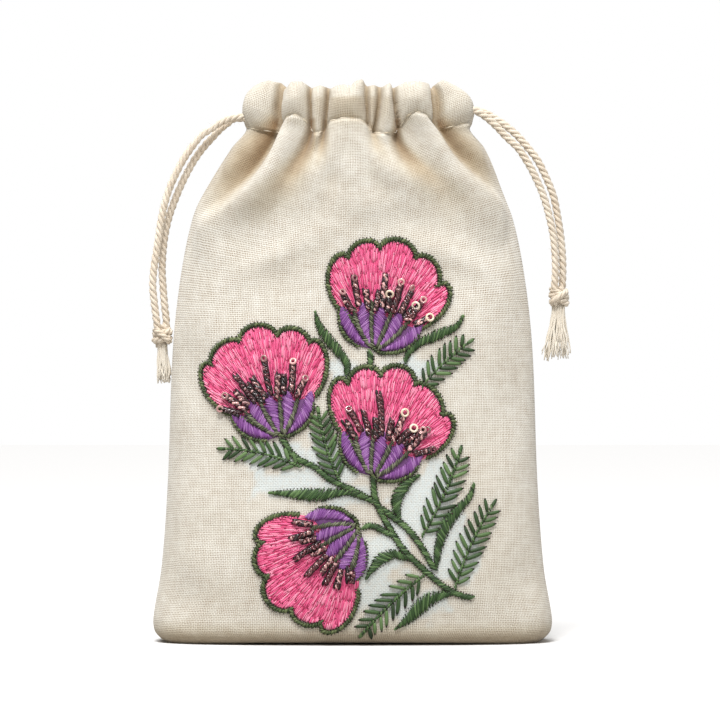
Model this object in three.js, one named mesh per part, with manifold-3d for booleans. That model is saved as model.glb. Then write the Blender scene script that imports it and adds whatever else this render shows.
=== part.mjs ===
// Potli bag: a cream cloth pouch with a drawstring casing and embroidered flowers on its front
// Millimetres, +Z up, front faces -Y, origin on the floor under the middle of the bag
import * as THREE from 'three';
import Module from 'manifold-3d';

// Cloth
const BAG_HEIGHT = 181;
const CLOTH_THICK = 0.9;
const HALF_WIDTH = [
  [0, 61], [1.2, 63.2], [4, 64.6], [8, 64.4], [24, 62], [51, 60], [94, 58.4], [117, 56],
  [137, 52], [148, 47.3], [160, 41], [168, 36.9], [181, 36.6],
];
const HALF_DEPTH = [
  [0, 20.5], [1.2, 22.3], [4, 23.6], [30, 25], [60, 24], [100, 21.6], [130, 19.6], [150, 18],
  [165, 15.5], [181, 15.5],
];
const SQUARENESS = [[0, 3.0], [40, 2.5], [120, 2.2], [181, 2.2]];
const COLUMNS = 84;

// Casing round the mouth
const CASING_STITCH_Z = 165;
const CASING_LOOSE_TOP_Z = 175;
const CASING_INSIDE_INSET = 5.2;
const TUNNEL_LOW_Z = 167;
const TUNNEL_HIGH_Z = 176;
const TUNNEL_INNER_INSET = CASING_INSIDE_INSET - CLOTH_THICK;
const INNER_GATHER_SHARE = -0.25;
const SIDE_LUMP = 2.2;

// Drawcords
const CORD_DIAMETER = 2.5;
const CORD_SIDES = 8;
const CORD_STEPS = 54;
const CORD_INSET = (CLOTH_THICK + TUNNEL_INNER_INSET) / 2;
const LEFT_CORD_Z = 169.8;
const RIGHT_CORD_Z = 173.6;
const EXIT_HEIGHT = CORD_DIAMETER + 1.4;
const EXIT_HALF_DEPTH = 5.6;
const EXIT_FROM_X = 33;
const EXIT_TO_X = 44;

// Embroidery
const GAP = 0.3;
const THREAD_THICK = 0.6;
const BEAD_THICK = 0.8;
const OUTLINE_WIDTH = 0.9;
const STEM_WIDTH = 1.7;
const ARC_FROM = 9;
const ARC_TO = 10.4;
const STRING_HALF_WIDTH = 0.45;
const LEAF_TIP_HALF_WIDTH = 0.25;
const RACHIS_HALF_WIDTH = 0.5;
const FROND_LEAST_HALF_WIDTH = 1;
const LOBE_DIP = 0.13;
const PETAL_HALF_FAN = 55;

const COLOURS = {
  cloth: [0xe6dcc8, 0.9], cord: [0xdccfb8, 0.85], petal: [0xee5f98, 0.6], cup: [0x9659a8, 0.6],
  green: [0x44602f, 0.65], edge: [0x35502f, 0.65], bead: [0x4a1a28, 0.25],
};

// Smooth curve through [position, value] pairs
function along(table, at) {
  const last = table.length - 1;
  if (at <= table[0][0]) return table[0][1];
  if (at >= table[last][0]) return table[last][1];
  const k = table.findIndex((entry) => entry[0] > at) - 1;
  const slope = (i) => {
    const low = table[Math.max(i - 1, 0)];
    const high = table[Math.min(i + 1, last)];
    return (high[1] - low[1]) / (high[0] - low[0]);
  };
  const span = table[k + 1][0] - table[k][0];
  const t = (at - table[k][0]) / span;
  const rise = table[k + 1][1] - table[k][1];
  const start = slope(k) * span;
  const end = slope(k + 1) * span;
  const square = 3 * rise - 2 * start - end;
  const cube = start + end - 2 * rise;
  return table[k][1] + start * t + square * t ** 2 + cube * t ** 3;
}

function straight(table, at) {
  const last = table.length - 1;
  if (at <= table[0][0]) return table[0][1];
  if (at >= table[last][0]) return table[last][1];
  const k = table.findIndex((entry) => entry[0] > at) - 1;
  const t = (at - table[k][0]) / (table[k + 1][0] - table[k][0]);
  return table[k][1] * (1 - t) + table[k + 1][1] * t;
}

// Gathers of the casing: middle, half width and height of each lump of cloth between two pinches
const CASING_LUMPS = {
  front: [
    [-29.5, 7.2, 3.2], [-17.8, 4.7, 3], [-11, 2.2, 1.5], [-1.6, 7.2, 3.2], [10, 4.4, 1.7], [20.6, 6.2, 3],
    [31, 5.6, 3.2],
  ],
  rear: [[-28, 7, 3], [-15.5, 5.5, 2.8], [-5, 4.8, 2.2], [6, 6, 3], [17.5, 5.4, 2.6], [29, 6, 3.1]],
};

// Tucks that run down from the casing: [height, middle, half width, rise] at several heights
const TUCKS = {
  front: [
    [
      [128, -52, 9, 0], [134.7, -46.6, 8, 0.9], [143.8, -36.5, 6.2, 2], [155.2, -28.1, 4.6, 3],
      [165, -20.5, 4.2, 2.6],
    ],
    [[122, -24, 9, 0], [150, -14, 6.5, 1.7], [158, -5.5, 6.5, 3], [165, -1.6, 6.8, 2.4]],
    [[120, 40, 10, 0], [145, 25.5, 7, 1.6], [150, 17.5, 6.5, 2], [158, 2.5, 6.5, 3], [165, -1.6, 6.8, 2.4]],
    [
      [130, 56, 9, 0], [139.6, 47.2, 7.5, 1.1], [149, 38.8, 6, 2], [157.5, 31.3, 4.8, 2.9],
      [165, 23.5, 4.4, 2.6],
    ],
  ],
  rear: [
    [[128, -48, 9, 0], [145, -35, 6.5, 1.8], [157, -27, 5, 2.8], [165, -22, 4.6, 2.4]],
    [[118, -12, 10, 0], [146, -8, 6.5, 1.7], [165, -5, 5, 2.3]],
    [[122, 20, 9, 0], [148, 13, 6.5, 1.9], [165, 7, 5.2, 2.4]],
    [[130, 50, 9, 0], [146, 37, 6.4, 1.9], [157, 29, 5, 2.8], [165, 24, 4.6, 2.4]],
  ],
};

const mound = (offset, halfWidth) => Math.sqrt(Math.max(0, 1 - (offset / halfWidth) ** 2));
const soft = (offset, halfWidth) => Math.max(0, 1 - (offset / halfWidth) ** 2) ** 1.5;

function casingGather(x, side, sideways) {
  const near = CASING_LUMPS[side].map(([middle, half, rise]) => rise * mound(x - middle, half));
  return Math.max(...near, SIDE_LUMP * soft(1 - sideways, 0.1));
}

function tuckRise(x, z, side) {
  const rises = TUCKS[side].map((stops) => {
    const read = (column) => straight(stops.map((stop) => [stop[0], stop[column]]), z);
    return read(3) * soft(x - read(1), read(2) * 1.5);
  });
  return Math.max(...rises);
}

// How far the cloth stands out of its smooth shape
function gather(x, z, side, sideways) {
  const casingShare = THREE.MathUtils.smoothstep(z, CASING_STITCH_Z - 0.5, CASING_STITCH_Z + 4);
  const tuckShare = 1 - casingShare;
  const stitchPull = 1 - 0.45 * Math.exp(-(((z - CASING_STITCH_Z) / 2.2) ** 2));
  const taper = 1 - THREE.MathUtils.smoothstep(sideways, 0.86, 0.98);
  const tucks = tuckShare > 0 ? tuckRise(x, z, side) * taper : 0;
  const lumps = casingShare > 0 ? casingGather(x, side, sideways) : 0;
  return (tucks * tuckShare + lumps * casingShare) * stitchPull;
}

// A point of the cloth at an angle round the bag (270 degrees is the middle of the front)
function clothPoint(angle, z, inset, share, lift = 0) {
  const a = along(HALF_WIDTH, z);
  const b = along(HALF_DEPTH, z);
  const n = along(SQUARENESS, z);
  const c = Math.cos(angle);
  const s = Math.sin(angle);
  const x = a * Math.sign(c) * Math.abs(c) ** (2 / n);
  const y = b * Math.sign(s) * Math.abs(s) ** (2 / n);
  const steepX = (Math.sign(c) * Math.abs(c) ** (2 - 2 / n)) / a;
  const steepY = (Math.sign(s) * Math.abs(s) ** (2 - 2 / n)) / b;
  const normal = new THREE.Vector2(steepX, steepY).normalize();
  const out = share !== 0 ? share * gather(x, z, y < 0 ? 'front' : 'rear', Math.abs(x) / a) : 0;
  return new THREE.Vector3(x + normal.x * (out - inset), y + normal.y * (out - inset), z + lift);
}

// A point over the front of the bag, lifted off the cloth
function frontPoint(x, z, lift) {
  const share = Math.min(1, Math.abs(x) / along(HALF_WIDTH, z));
  const c = Math.sign(x) * share ** (along(SQUARENESS, z) / 2);
  return clothPoint(Math.atan2(-Math.sqrt(1 - c * c), c), z, -lift, 1);
}

// Closed skin through a stack of rings, with a point at each end
function skin(rings, first, last) {
  const count = rings[0].length;
  const points = [first, ...rings.flat(), last];
  const faces = [];
  for (let i = 0; i < count; i += 1) {
    const next = (i + 1) % count;
    faces.push([0, 1 + next, 1 + i]);
    for (let j = 0; j < rings.length - 1; j += 1) {
      const low = 1 + j * count;
      faces.push([low + i, low + next, low + count + next]);
      faces.push([low + i, low + count + next, low + count + i]);
    }
    const top = 1 + (rings.length - 1) * count;
    faces.push([top + i, top + next, points.length - 1]);
  }
  return toGeometry(points, faces);
}

function toGeometry(points, faces) {
  const geometry = new THREE.BufferGeometry();
  const flat = points.flatMap((p) => [p.x, p.y, p.z]);
  geometry.setAttribute('position', new THREE.Float32BufferAttribute(flat, 3));
  geometry.setIndex(faces.flat());
  return geometry;
}

const wasm = await Module();
wasm.setup();

function solidOf(geometry) {
  const keys = new Map();
  const vertices = [];
  const source = geometry.getAttribute('position');
  const place = (i) => {
    const at = [source.getX(i), source.getY(i), source.getZ(i)].map((v) => Math.round(v * 1e4) / 1e4);
    const key = at.join(' ');
    if (!keys.has(key)) {
      keys.set(key, vertices.length / 3);
      vertices.push(...at);
    }
    return keys.get(key);
  };
  const order = geometry.index ? [...geometry.index.array] : [...Array(source.count).keys()];
  const triangles = [];
  for (let i = 0; i < order.length; i += 3) {
    const corners = [place(order[i]), place(order[i + 1]), place(order[i + 2])];
    if (new Set(corners).size === 3) triangles.push(...corners);
  }
  const vertProperties = new Float32Array(vertices);
  const triVerts = new Uint32Array(triangles);
  return new wasm.Manifold(new wasm.Mesh({ numProp: 3, vertProperties, triVerts }));
}

function geometryOf(solid) {
  const mesh = solid.getMesh();
  const geometry = new THREE.BufferGeometry();
  const flat = new Float32Array((mesh.vertProperties.length / mesh.numProp) * 3);
  for (let i = 0; i < flat.length / 3; i += 1) {
    for (let k = 0; k < 3; k += 1) flat[3 * i + k] = mesh.vertProperties[i * mesh.numProp + k];
  }
  geometry.setAttribute('position', new THREE.Float32BufferAttribute(flat, 3));
  geometry.setIndex([...mesh.triVerts]);
  return geometry;
}

function ringAt(z, inset, share, count, lift = () => 0) {
  return Array.from({ length: count }, (_, i) => {
    const angle = (2 * Math.PI * (i + 0.5)) / count;
    const point = clothPoint(angle, z, inset, share);
    point.z += lift(angle, z);
    return point;
  });
}

// The top edge stands lower in the pinches than on the lumps
function rimLift(angle, z) {
  const point = clothPoint(angle, CASING_LOOSE_TOP_Z, 0, 0);
  const side = point.y < 0 ? 'front' : 'rear';
  const lump = casingGather(point.x, side, Math.abs(point.x) / along(HALF_WIDTH, CASING_LOOSE_TOP_Z));
  return -(z - CASING_LOOSE_TOP_Z) * 0.4 * (1 - Math.min(1, lump / 3.2));
}

function bagBody() {
  const outer = [
    0, 1.2, 4, 8, 22, 42, 64, 88, 108, 120, 128, 135, 141, 147, 152, 156, 160,
    ...[-1.5, 0, 1.8, 4.5].map((above) => CASING_STITCH_Z + above), CASING_LOOSE_TOP_Z,
  ];
  const crest = CASING_INSIDE_INSET / 2;
  const rim = [
    [BAG_HEIGHT - 3, 0.3], [BAG_HEIGHT - 1, 1.2], [BAG_HEIGHT, crest],
    [BAG_HEIGHT - 1, CASING_INSIDE_INSET - 1.2], [BAG_HEIGHT - 3, CASING_INSIDE_INSET - 0.3],
  ];
  const casingInside = [CASING_LOOSE_TOP_Z, TUNNEL_LOW_Z - 0.5];
  const inner = [CASING_STITCH_Z - 2.5, 151, 139, 120, 80, 40, 8, 4, 1.6];
  const rings = [
    ...outer.map((z) => ringAt(z, 0, 1, COLUMNS)),
    ...rim.map(([z, inset]) => ringAt(z, inset, inset < crest ? 1 : 0, COLUMNS, rimLift)),
    ...casingInside.map((z) => ringAt(z, CASING_INSIDE_INSET, INNER_GATHER_SHARE, COLUMNS)),
    ...inner.map((z) => ringAt(z, CLOTH_THICK, 1, COLUMNS)),
  ];
  const body = solidOf(skin(rings, new THREE.Vector3(0, 0, 0), new THREE.Vector3(0, 0, CLOTH_THICK)));
  const cuts = [casingTunnel(), cordExit(-1, LEFT_CORD_Z), cordExit(1, RIGHT_CORD_Z)];
  return geometryOf(cuts.reduce((left, cut) => left.subtract(cut), body));
}

// Ring-shaped hollow of the casing
function casingTunnel() {
  const count = COLUMNS;
  const corners = [
    [TUNNEL_LOW_Z, CLOTH_THICK, 1], [TUNNEL_HIGH_Z, CLOTH_THICK, 1],
    [TUNNEL_HIGH_Z, TUNNEL_INNER_INSET, INNER_GATHER_SHARE],
    [TUNNEL_LOW_Z, TUNNEL_INNER_INSET, INNER_GATHER_SHARE],
  ];
  const rings = corners.map(([z, inset, share]) => ringAt(z, inset, share, count));
  const faces = [];
  for (let k = 0; k < 4; k += 1) {
    const low = k * count;
    const high = ((k + 1) % 4) * count;
    for (let i = 0; i < count; i += 1) {
      const next = (i + 1) % count;
      faces.push([low + i, low + next, high + next], [low + i, high + next, high + i]);
    }
  }
  return solidOf(toGeometry(rings.flat(), faces));
}

function cordExit(side, z) {
  const box = new THREE.BoxGeometry(EXIT_TO_X - EXIT_FROM_X, 2 * EXIT_HALF_DEPTH, EXIT_HEIGHT);
  box.translate((side * (EXIT_TO_X + EXIT_FROM_X)) / 2, 0, z);
  return solidOf(box);
}

// Drawcord routes outside the casing, from the exit down to the knot: [x, y, z]
const LEFT_FRONT = [
  [-34.4, -3.7, 169.8], [-38.4, -2.6, 169.8], [-42.4, -2.2, 168.4], [-46, -1.9, 166.1],
  [-49.2, -1.7, 164], [-52.3, -1.6, 160.1], [-54.9, -1.6, 156.2], [-57.6, -1.6, 151],
  [-60.2, -1.6, 144.5], [-62, -1.6, 137], [-63.2, -1.6, 129], [-64.4, -1.6, 121],
  [-64.8, -1.6, 115], [-64.2, -1.7, 109], [-63.4, -2, 102.8],
];
const LEFT_REAR = [
  [-34.4, 3.7, 169.8], [-38.4, 2.6, 169.8], [-41, 2.2, 168], [-43.4, 1.9, 166], [-45.6, 1.7, 163.6],
  [-48.7, 1.6, 160.1], [-51.5, 1.6, 156.2], [-54.4, 1.6, 151], [-57.3, 1.6, 144.5],
  [-60, 1.6, 136.7], [-61.4, 1.6, 129], [-61.9, 1.6, 121], [-61.6, 1.4, 115], [-61.1, 1.1, 109],
  [-60.5, 0.9, 102.8],
];
const RIGHT_FRONT = [
  [34.4, -3.7, 173.6], [38.6, -2.6, 173.6], [42.6, -2.2, 171.6], [46.4, -1.9, 168],
  [49.8, -1.7, 164], [53.6, -1.6, 160], [56.2, -1.6, 156.2], [58.8, -1.6, 151.6],
  [61.9, -1.6, 144.5], [64, -1.6, 137], [65.2, -1.6, 130.8], [65.7, -1.6, 125], [65.8, -1.6, 120],
  [65.6, -1.6, 115.3],
];
const RIGHT_REAR = [
  [34.4, 3.7, 173.6], [38.6, 2.6, 173.6], [43.4, 2.2, 172.6], [48.6, 1.9, 169], [53.4, 1.7, 164.6],
  [57.1, 1.6, 160.1], [60.1, 1.6, 156.2], [63, 1.6, 150.4], [65.3, 1.6, 144.5], [66.8, 1.6, 137],
  [67.7, 1.6, 130.8], [68.2, 1.6, 125], [68.3, 1.6, 120], [68.1, 1.6, 115.3],
];
const HIDDEN_TURNS = [
  214, 228, 243, 257, 270, 283, 297, 312, 328, 345, 0, 15, 32, 48, 63, 77, 90, 103, 117, 132, 146,
];

function cordRoute(front, rear, side, z) {
  const hidden = HIDDEN_TURNS.map((degrees) => {
    const point = clothPoint(THREE.MathUtils.degToRad(degrees), z, CORD_INSET, 0);
    return new THREE.Vector3(-side * point.x, point.y, z);
  });
  const vectors = (list) => list.map((p) => new THREE.Vector3(...p));
  return [...vectors(front).reverse(), ...hidden, ...vectors(rear)];
}

function cordTube(points) {
  const shape = new THREE.Shape();
  for (let i = 0; i < CORD_SIDES; i += 1) {
    const angle = (2 * Math.PI * i) / CORD_SIDES;
    const at = [(CORD_DIAMETER / 2) * Math.cos(angle), (CORD_DIAMETER / 2) * Math.sin(angle)];
    if (i === 0) shape.moveTo(...at);
    else shape.lineTo(...at);
  }
  const extrudePath = new THREE.CatmullRomCurve3(points, false, 'centripetal');
  return new THREE.ExtrudeGeometry(shape, { steps: CORD_STEPS, extrudePath, bevelEnabled: false });
}

// Round solid along a straight axis: [distance, radius across, radius deep] stations
function bead(centre, tilt, stations, sides) {
  const turn = new THREE.Matrix4().makeRotationY(tilt).setPosition(...centre);
  const ring = ([z, across, deep]) => Array.from({ length: sides }, (_, i) => {
    const angle = (2 * Math.PI * i) / sides;
    return new THREE.Vector3(across * Math.cos(angle), deep * Math.sin(angle), z).applyMatrix4(turn);
  });
  const rings = stations.slice(1, -1).map(ring);
  const end = (station) => new THREE.Vector3(0, 0, station[0]).applyMatrix4(turn);
  return skin(rings, end(stations[0]), end(stations[stations.length - 1]));
}

// Knots and frayed ends: [distance, radius across, radius deep] stations
const KNOT_TILT = 0.15;
const KNOT_SIDES = 12;
const TAIL_BELOW_KNOT = 4;
const KNOT_PROFILE = [
  [-3.5], [-3.4, 1.5, 1.4], [-2.7, 2.9, 2.6], [-1.8, 3.1, 2.8], [-1.2, 2.8, 2.5], [-0.6, 3.2, 2.9],
  [0.4, 3.3, 3], [1.2, 2.9, 2.6], [2, 3, 2.7], [2.8, 2.5, 2.3], [3.3, 1.4, 1.3], [3.4],
];
const LEFT_KNOT = [-62, -0.4, 99];
const RIGHT_KNOT = [67, 0, 111.6];
const LEFT_TAIL = [
  [-12], [-11.9, 1.7, 1.3], [-9, 1.9, 1.5], [-5, 1.7, 1.4], [-1, 1.4, 1.3], [-0.1, 1.2, 1.1], [0],
];
const RIGHT_TAIL = [
  [-17.4], [-17.3, 4.7, 2.2], [-12, 3.6, 1.9], [-7, 2.6, 1.7], [-2, 1.9, 1.5], [-0.1, 1.5, 1.2],
  [0],
];

// Thin pad over the front of the cloth from a grid of [x, z] places
function pad(grid, low, high) {
  const rows = grid.length;
  const columns = grid[0].length;
  const layer = (lift) => grid.flat().map(([x, z]) => frontPoint(x, z, lift));
  const points = [...layer(high), ...layer(low)];
  const under = rows * columns;
  const at = (j, i) => j * columns + i;
  const faces = [];
  for (let j = 0; j < rows - 1; j += 1) {
    for (let i = 0; i < columns - 1; i += 1) {
      const [p, q, r, s] = [at(j, i), at(j, i + 1), at(j + 1, i + 1), at(j + 1, i)];
      faces.push([p, q, r], [p, r, s]);
      faces.push([under + p, under + r, under + q], [under + p, under + s, under + r]);
    }
  }
  const edge = [
    ...Array.from({ length: columns - 1 }, (_, i) => at(0, i)),
    ...Array.from({ length: rows - 1 }, (_, j) => at(j, columns - 1)),
    ...Array.from({ length: columns - 1 }, (_, i) => at(rows - 1, columns - 1 - i)),
    ...Array.from({ length: rows - 1 }, (_, j) => at(rows - 1 - j, 0)),
  ];
  edge.forEach((p, k) => {
    const q = edge[(k + 1) % edge.length];
    faces.push([p, under + p, under + q], [p, under + q, q]);
  });
  const turned = edge.reduce((sum, p, k) => {
    const [x0, z0] = grid.flat()[p];
    const [x1, z1] = grid.flat()[edge[(k + 1) % edge.length]];
    return sum + x0 * z1 - x1 * z0;
  }, 0) < 0;
  return toGeometry(points, turned ? faces.map(([p, q, r]) => [p, r, q]) : faces);
}

const polar = (base, degrees, radius) => {
  const angle = THREE.MathUtils.degToRad(degrees);
  return [base[0] + radius * Math.cos(angle), base[1] + radius * Math.sin(angle)];
};
const steps = (count, low, high) => (
  Array.from({ length: count + 1 }, (_, i) => low + ((high - low) * i) / count)
);

// Blossoms: foot of the cup, direction, and the five lobes as [turn from the direction, reach]
const BLOSSOMS = {
  top: { base: [6.1, 93.7], axis: 80, lobes: [[-45, 29], [-22, 34], [0, 37], [22, 35.5], [45, 28.5]] },
  left: { base: [-23.4, 66], axis: 105, lobes: [[-45, 28], [-20, 36], [0, 37.5], [25, 35], [46, 31]] },
  middle: {
    base: [6.3, 52.9], axis: 73, lobes: [[-43, 31.5], [-22, 35.5], [0, 37], [20, 34.5], [43, 27.5]],
  },
  bottom: { base: [2.9, 36.9], axis: 216, lobes: [[-42, 33], [-19, 36.5], [0, 38], [25, 37.5], [43, 34]] },
};
const CUP_EDGE = [
  [-92, 4.5], [-78, 9.8], [-66, 13.6], [-52, 17.4], [-39, 12.8], [-26, 15], [-13, 11], [0, 13.4],
  [13, 11], [26, 15], [39, 12.8], [52, 17.4], [66, 13.6], [78, 9.8], [92, 4.5],
];

function petalReach(lobes, turn) {
  const edges = lobes.slice(1).map((lobe, k) => (lobe[0] + lobes[k][0]) / 2);
  const bounds = [-PETAL_HALF_FAN, ...edges, PETAL_HALF_FAN];
  const k = Math.min(bounds.slice(1, -1).filter((edge) => turn > edge).length, lobes.length - 1);
  const half = Math.max(turn > lobes[k][0] ? bounds[k + 1] - lobes[k][0] : lobes[k][0] - bounds[k], 1);
  const share = Math.min(1, Math.abs(turn - lobes[k][0]) / half);
  return lobes[k][1] * (1 - LOBE_DIP * share ** 2.4);
}

// Turns at which the petals' edge is cut: the cup's own turns and the ones halfway between
const cupTurns = CUP_EDGE.map(([turn]) => turn).filter((turn) => Math.abs(turn) < PETAL_HALF_FAN);
const halfwayTurns = cupTurns.slice(1).map((turn, k) => (cupTurns[k] + turn) / 2);
const petalTurns = [-PETAL_HALF_FAN, ...cupTurns, ...halfwayTurns, PETAL_HALF_FAN].sort((p, q) => p - q);

function petals({ base, axis, lobes }) {
  const grid = steps(3, 0, 1).map((share) => petalTurns.map((turn) => {
    const inner = straight(CUP_EDGE, turn) + GAP;
    return polar(base, axis + turn, inner + (petalReach(lobes, turn) - inner) * share);
  }));
  return pad(grid, GAP, GAP + THREAD_THICK);
}

function outline({ base, axis, lobes }) {
  const grid = [GAP, GAP + OUTLINE_WIDTH].map((beyond) => petalTurns.map(
    (turn) => polar(base, axis + turn, petalReach(lobes, turn) + beyond),
  ));
  return pad(grid, GAP, GAP + THREAD_THICK);
}

function cup({ base, axis }) {
  const grid = [0.12, 0.56, 1].map((share) => CUP_EDGE.map(
    ([turn, reach]) => polar(base, axis + turn, reach * share),
  ));
  return pad(grid, GAP, GAP + THREAD_THICK);
}

// Bead strings spread from an arc over the cup
const STRING_TURNS = [-45, -30, -15, 0, 15, 30, 45];
function beadStrings({ base, axis, lobes }) {
  const low = 2 * GAP + THREAD_THICK;
  const high = low + BEAD_THICK;
  const arc = [ARC_FROM, ARC_TO].map(
    (radius) => steps(8, -50, 50).map((turn) => polar(base, axis + turn, radius)),
  );
  const joined = STRING_TURNS.reduce((solid, turn, k) => {
    const end = petalReach(lobes, turn) * (k % 2 ? 0.8 : 0.68);
    const grid = steps(2, (ARC_FROM + ARC_TO) / 2, end).map((radius) => [-1, 1].map((side) => {
      const aside = THREE.MathUtils.radToDeg((side * STRING_HALF_WIDTH) / radius);
      return polar(base, axis + turn + aside, radius);
    }));
    return solid.add(solidOf(pad(grid, low, high)));
  }, solidOf(pad(arc, low, high)));
  return geometryOf(joined);
}

// Ribbon of changing half width along a line of [x, z] places
function ribbon(line, halfWidths, low = GAP, high = GAP + THREAD_THICK) {
  const grid = line.map((place, k) => {
    const before = line[Math.max(k - 1, 0)];
    const after = line[Math.min(k + 1, line.length - 1)];
    const length = Math.hypot(after[0] - before[0], after[1] - before[1]);
    const across = [(before[1] - after[1]) / length, (after[0] - before[0]) / length];
    return [-halfWidths[k], halfWidths[k]].map(
      (half) => [place[0] + half * across[0], place[1] + half * across[1]],
    );
  });
  return pad(grid, low, high);
}

function pointsAlong(line, count) {
  const through = line.map(([x, z]) => new THREE.Vector3(x, 0, z));
  const curve = new THREE.CatmullRomCurve3(through, false, 'centripetal');
  return curve.getSpacedPoints(count).map((p) => [p.x, p.z]);
}

const STEMS = [
  [[38, 14.2], [24.5, 21.4], [16.1, 29.2], [11.5, 37.3], [8, 44.2], [6.9, 51.4]],
  [[7, 46], [-5, 51.2], [-15.5, 57.6], [-21.6, 64.8]],
  [[26.3, 26], [19, 35.6], [9, 42.4]],
  [[11.2, 37.6], [4.6, 37.4]],
];
const FRONDS = [
  [[24.5, 85.6], [39.5, 97], 4.2], [[-16.8, 56.8], [-42, 62.2], 3.8], [[-6.2, 53.6], [-13.4, 70.6], 2.4],
  [[23.6, 36], [34.6, 61.4], 4], [[34.6, 19.2], [45.4, 44], 4.2], [[21.2, 19.6], [3.4, 2.6], 3.4],
];
const LEAVES = [
  [[-0.8, 90.4], [-11, 105.4], 2], [[17.6, 91.2], [35.4, 105.6], 2], [[-2.4, 47.2], [-26, 49.8], 2],
  [[15.4, 41.8], [21.6, 54.6], 1.7], [[28.4, 31.4], [38.6, 50.8], 1.8], [[18.2, 24.6], [5.4, 20.6], 1.9],
  [[32, 14], [13.6, 4.6], 1.9],
];

function stems() {
  const solids = STEMS.map((line) => {
    const places = pointsAlong(line, Math.max(2, Math.round(line.length * 2)));
    return solidOf(ribbon(places, places.map(() => STEM_WIDTH / 2)));
  });
  return geometryOf(solids.reduce((whole, solid) => whole.add(solid)));
}

const between = (foot, tip, count) => steps(count, 0, 1).map(
  (t) => [foot[0] + (tip[0] - foot[0]) * t, foot[1] + (tip[1] - foot[1]) * t],
);

function leaf([foot, tip, half]) {
  const count = 7;
  const swell = (k) => half * Math.sin((Math.PI * (k + 0.3)) / (count + 0.6)) ** 0.8;
  const line = between(foot, tip, count);
  return ribbon(line, line.map((_, k) => Math.max(LEAF_TIP_HALF_WIDTH, swell(k))));
}

function frond([foot, tip, half]) {
  const count = 16;
  const line = between(foot, tip, count);
  const swell = (k) => half * Math.sin((Math.PI * (k + 2)) / (count + 4));
  const width = (k) => (k % 2 ? Math.max(FROND_LEAST_HALF_WIDTH, swell(k)) : RACHIS_HALF_WIDTH);
  return ribbon(line, line.map((_, k) => width(k)));
}

function finish(name, geometry, [color, roughness]) {
  const mesh = new THREE.Mesh(geometry, new THREE.MeshStandardMaterial({ color, roughness, metalness: 0 }));
  mesh.geometry.computeVertexNormals();
  mesh.name = name;
  return mesh;
}

const bag = new THREE.Group();
bag.name = 'potli_bag';
const put = (name, geometry, colour) => bag.add(finish(name, geometry, colour));

put('bag_body', bagBody(), COLOURS.cloth);
put('drawcord_left', cordTube(cordRoute(LEFT_FRONT, LEFT_REAR, -1, LEFT_CORD_Z)), COLOURS.cord);
put('drawcord_right', cordTube(cordRoute(RIGHT_FRONT, RIGHT_REAR, 1, RIGHT_CORD_Z)), COLOURS.cord);
const tailTop = ([x, y, z], toX, toY) => [x + toX, y + toY, z - TAIL_BELOW_KNOT];
put('knot_left', bead(LEFT_KNOT, KNOT_TILT, KNOT_PROFILE, KNOT_SIDES), COLOURS.cord);
put('knot_right', bead(RIGHT_KNOT, -KNOT_TILT, KNOT_PROFILE, KNOT_SIDES), COLOURS.cord);
put('tassel_left', bead(tailTop(LEFT_KNOT, 0.5, -1), -0.06, LEFT_TAIL, KNOT_SIDES), COLOURS.cord);
put('tassel_right', bead(tailTop(RIGHT_KNOT, 0, 0), 0.03, RIGHT_TAIL, KNOT_SIDES), COLOURS.cord);
for (const [name, blossom] of Object.entries(BLOSSOMS)) {
  put(`petals_${name}`, petals(blossom), COLOURS.petal);
  put(`outline_${name}`, outline(blossom), COLOURS.edge);
  put(`cup_${name}`, cup(blossom), COLOURS.cup);
  put(`beads_${name}`, beadStrings(blossom), COLOURS.bead);
}
put('stems', stems(), COLOURS.green);
FRONDS.forEach((place, k) => put(`frond_${k + 1}`, frond(place), COLOURS.green));
LEAVES.forEach((place, k) => put(`leaf_${k + 1}`, leaf(place), COLOURS.green));

export default bag;
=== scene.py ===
import bpy
import numpy as np
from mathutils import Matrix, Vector


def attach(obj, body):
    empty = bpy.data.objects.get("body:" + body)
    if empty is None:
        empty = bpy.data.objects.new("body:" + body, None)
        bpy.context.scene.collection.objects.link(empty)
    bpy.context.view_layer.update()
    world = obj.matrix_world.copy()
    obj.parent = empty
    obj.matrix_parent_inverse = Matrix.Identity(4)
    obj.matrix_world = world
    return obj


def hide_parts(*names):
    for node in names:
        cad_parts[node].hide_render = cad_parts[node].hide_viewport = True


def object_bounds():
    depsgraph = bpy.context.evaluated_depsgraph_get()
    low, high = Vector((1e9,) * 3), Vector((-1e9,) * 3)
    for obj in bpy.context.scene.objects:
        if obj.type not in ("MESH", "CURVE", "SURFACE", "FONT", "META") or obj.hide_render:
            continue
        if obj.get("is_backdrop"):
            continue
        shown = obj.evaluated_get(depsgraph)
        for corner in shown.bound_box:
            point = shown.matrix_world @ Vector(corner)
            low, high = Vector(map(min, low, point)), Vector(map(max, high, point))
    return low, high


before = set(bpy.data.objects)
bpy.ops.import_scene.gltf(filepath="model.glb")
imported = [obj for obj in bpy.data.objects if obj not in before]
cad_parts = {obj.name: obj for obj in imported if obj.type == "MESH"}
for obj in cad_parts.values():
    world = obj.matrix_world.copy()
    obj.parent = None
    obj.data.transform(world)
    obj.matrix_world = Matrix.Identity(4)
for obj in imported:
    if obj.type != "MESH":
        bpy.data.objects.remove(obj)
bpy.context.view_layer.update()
rng = np.random.default_rng(11)
MM = 0.001

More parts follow.
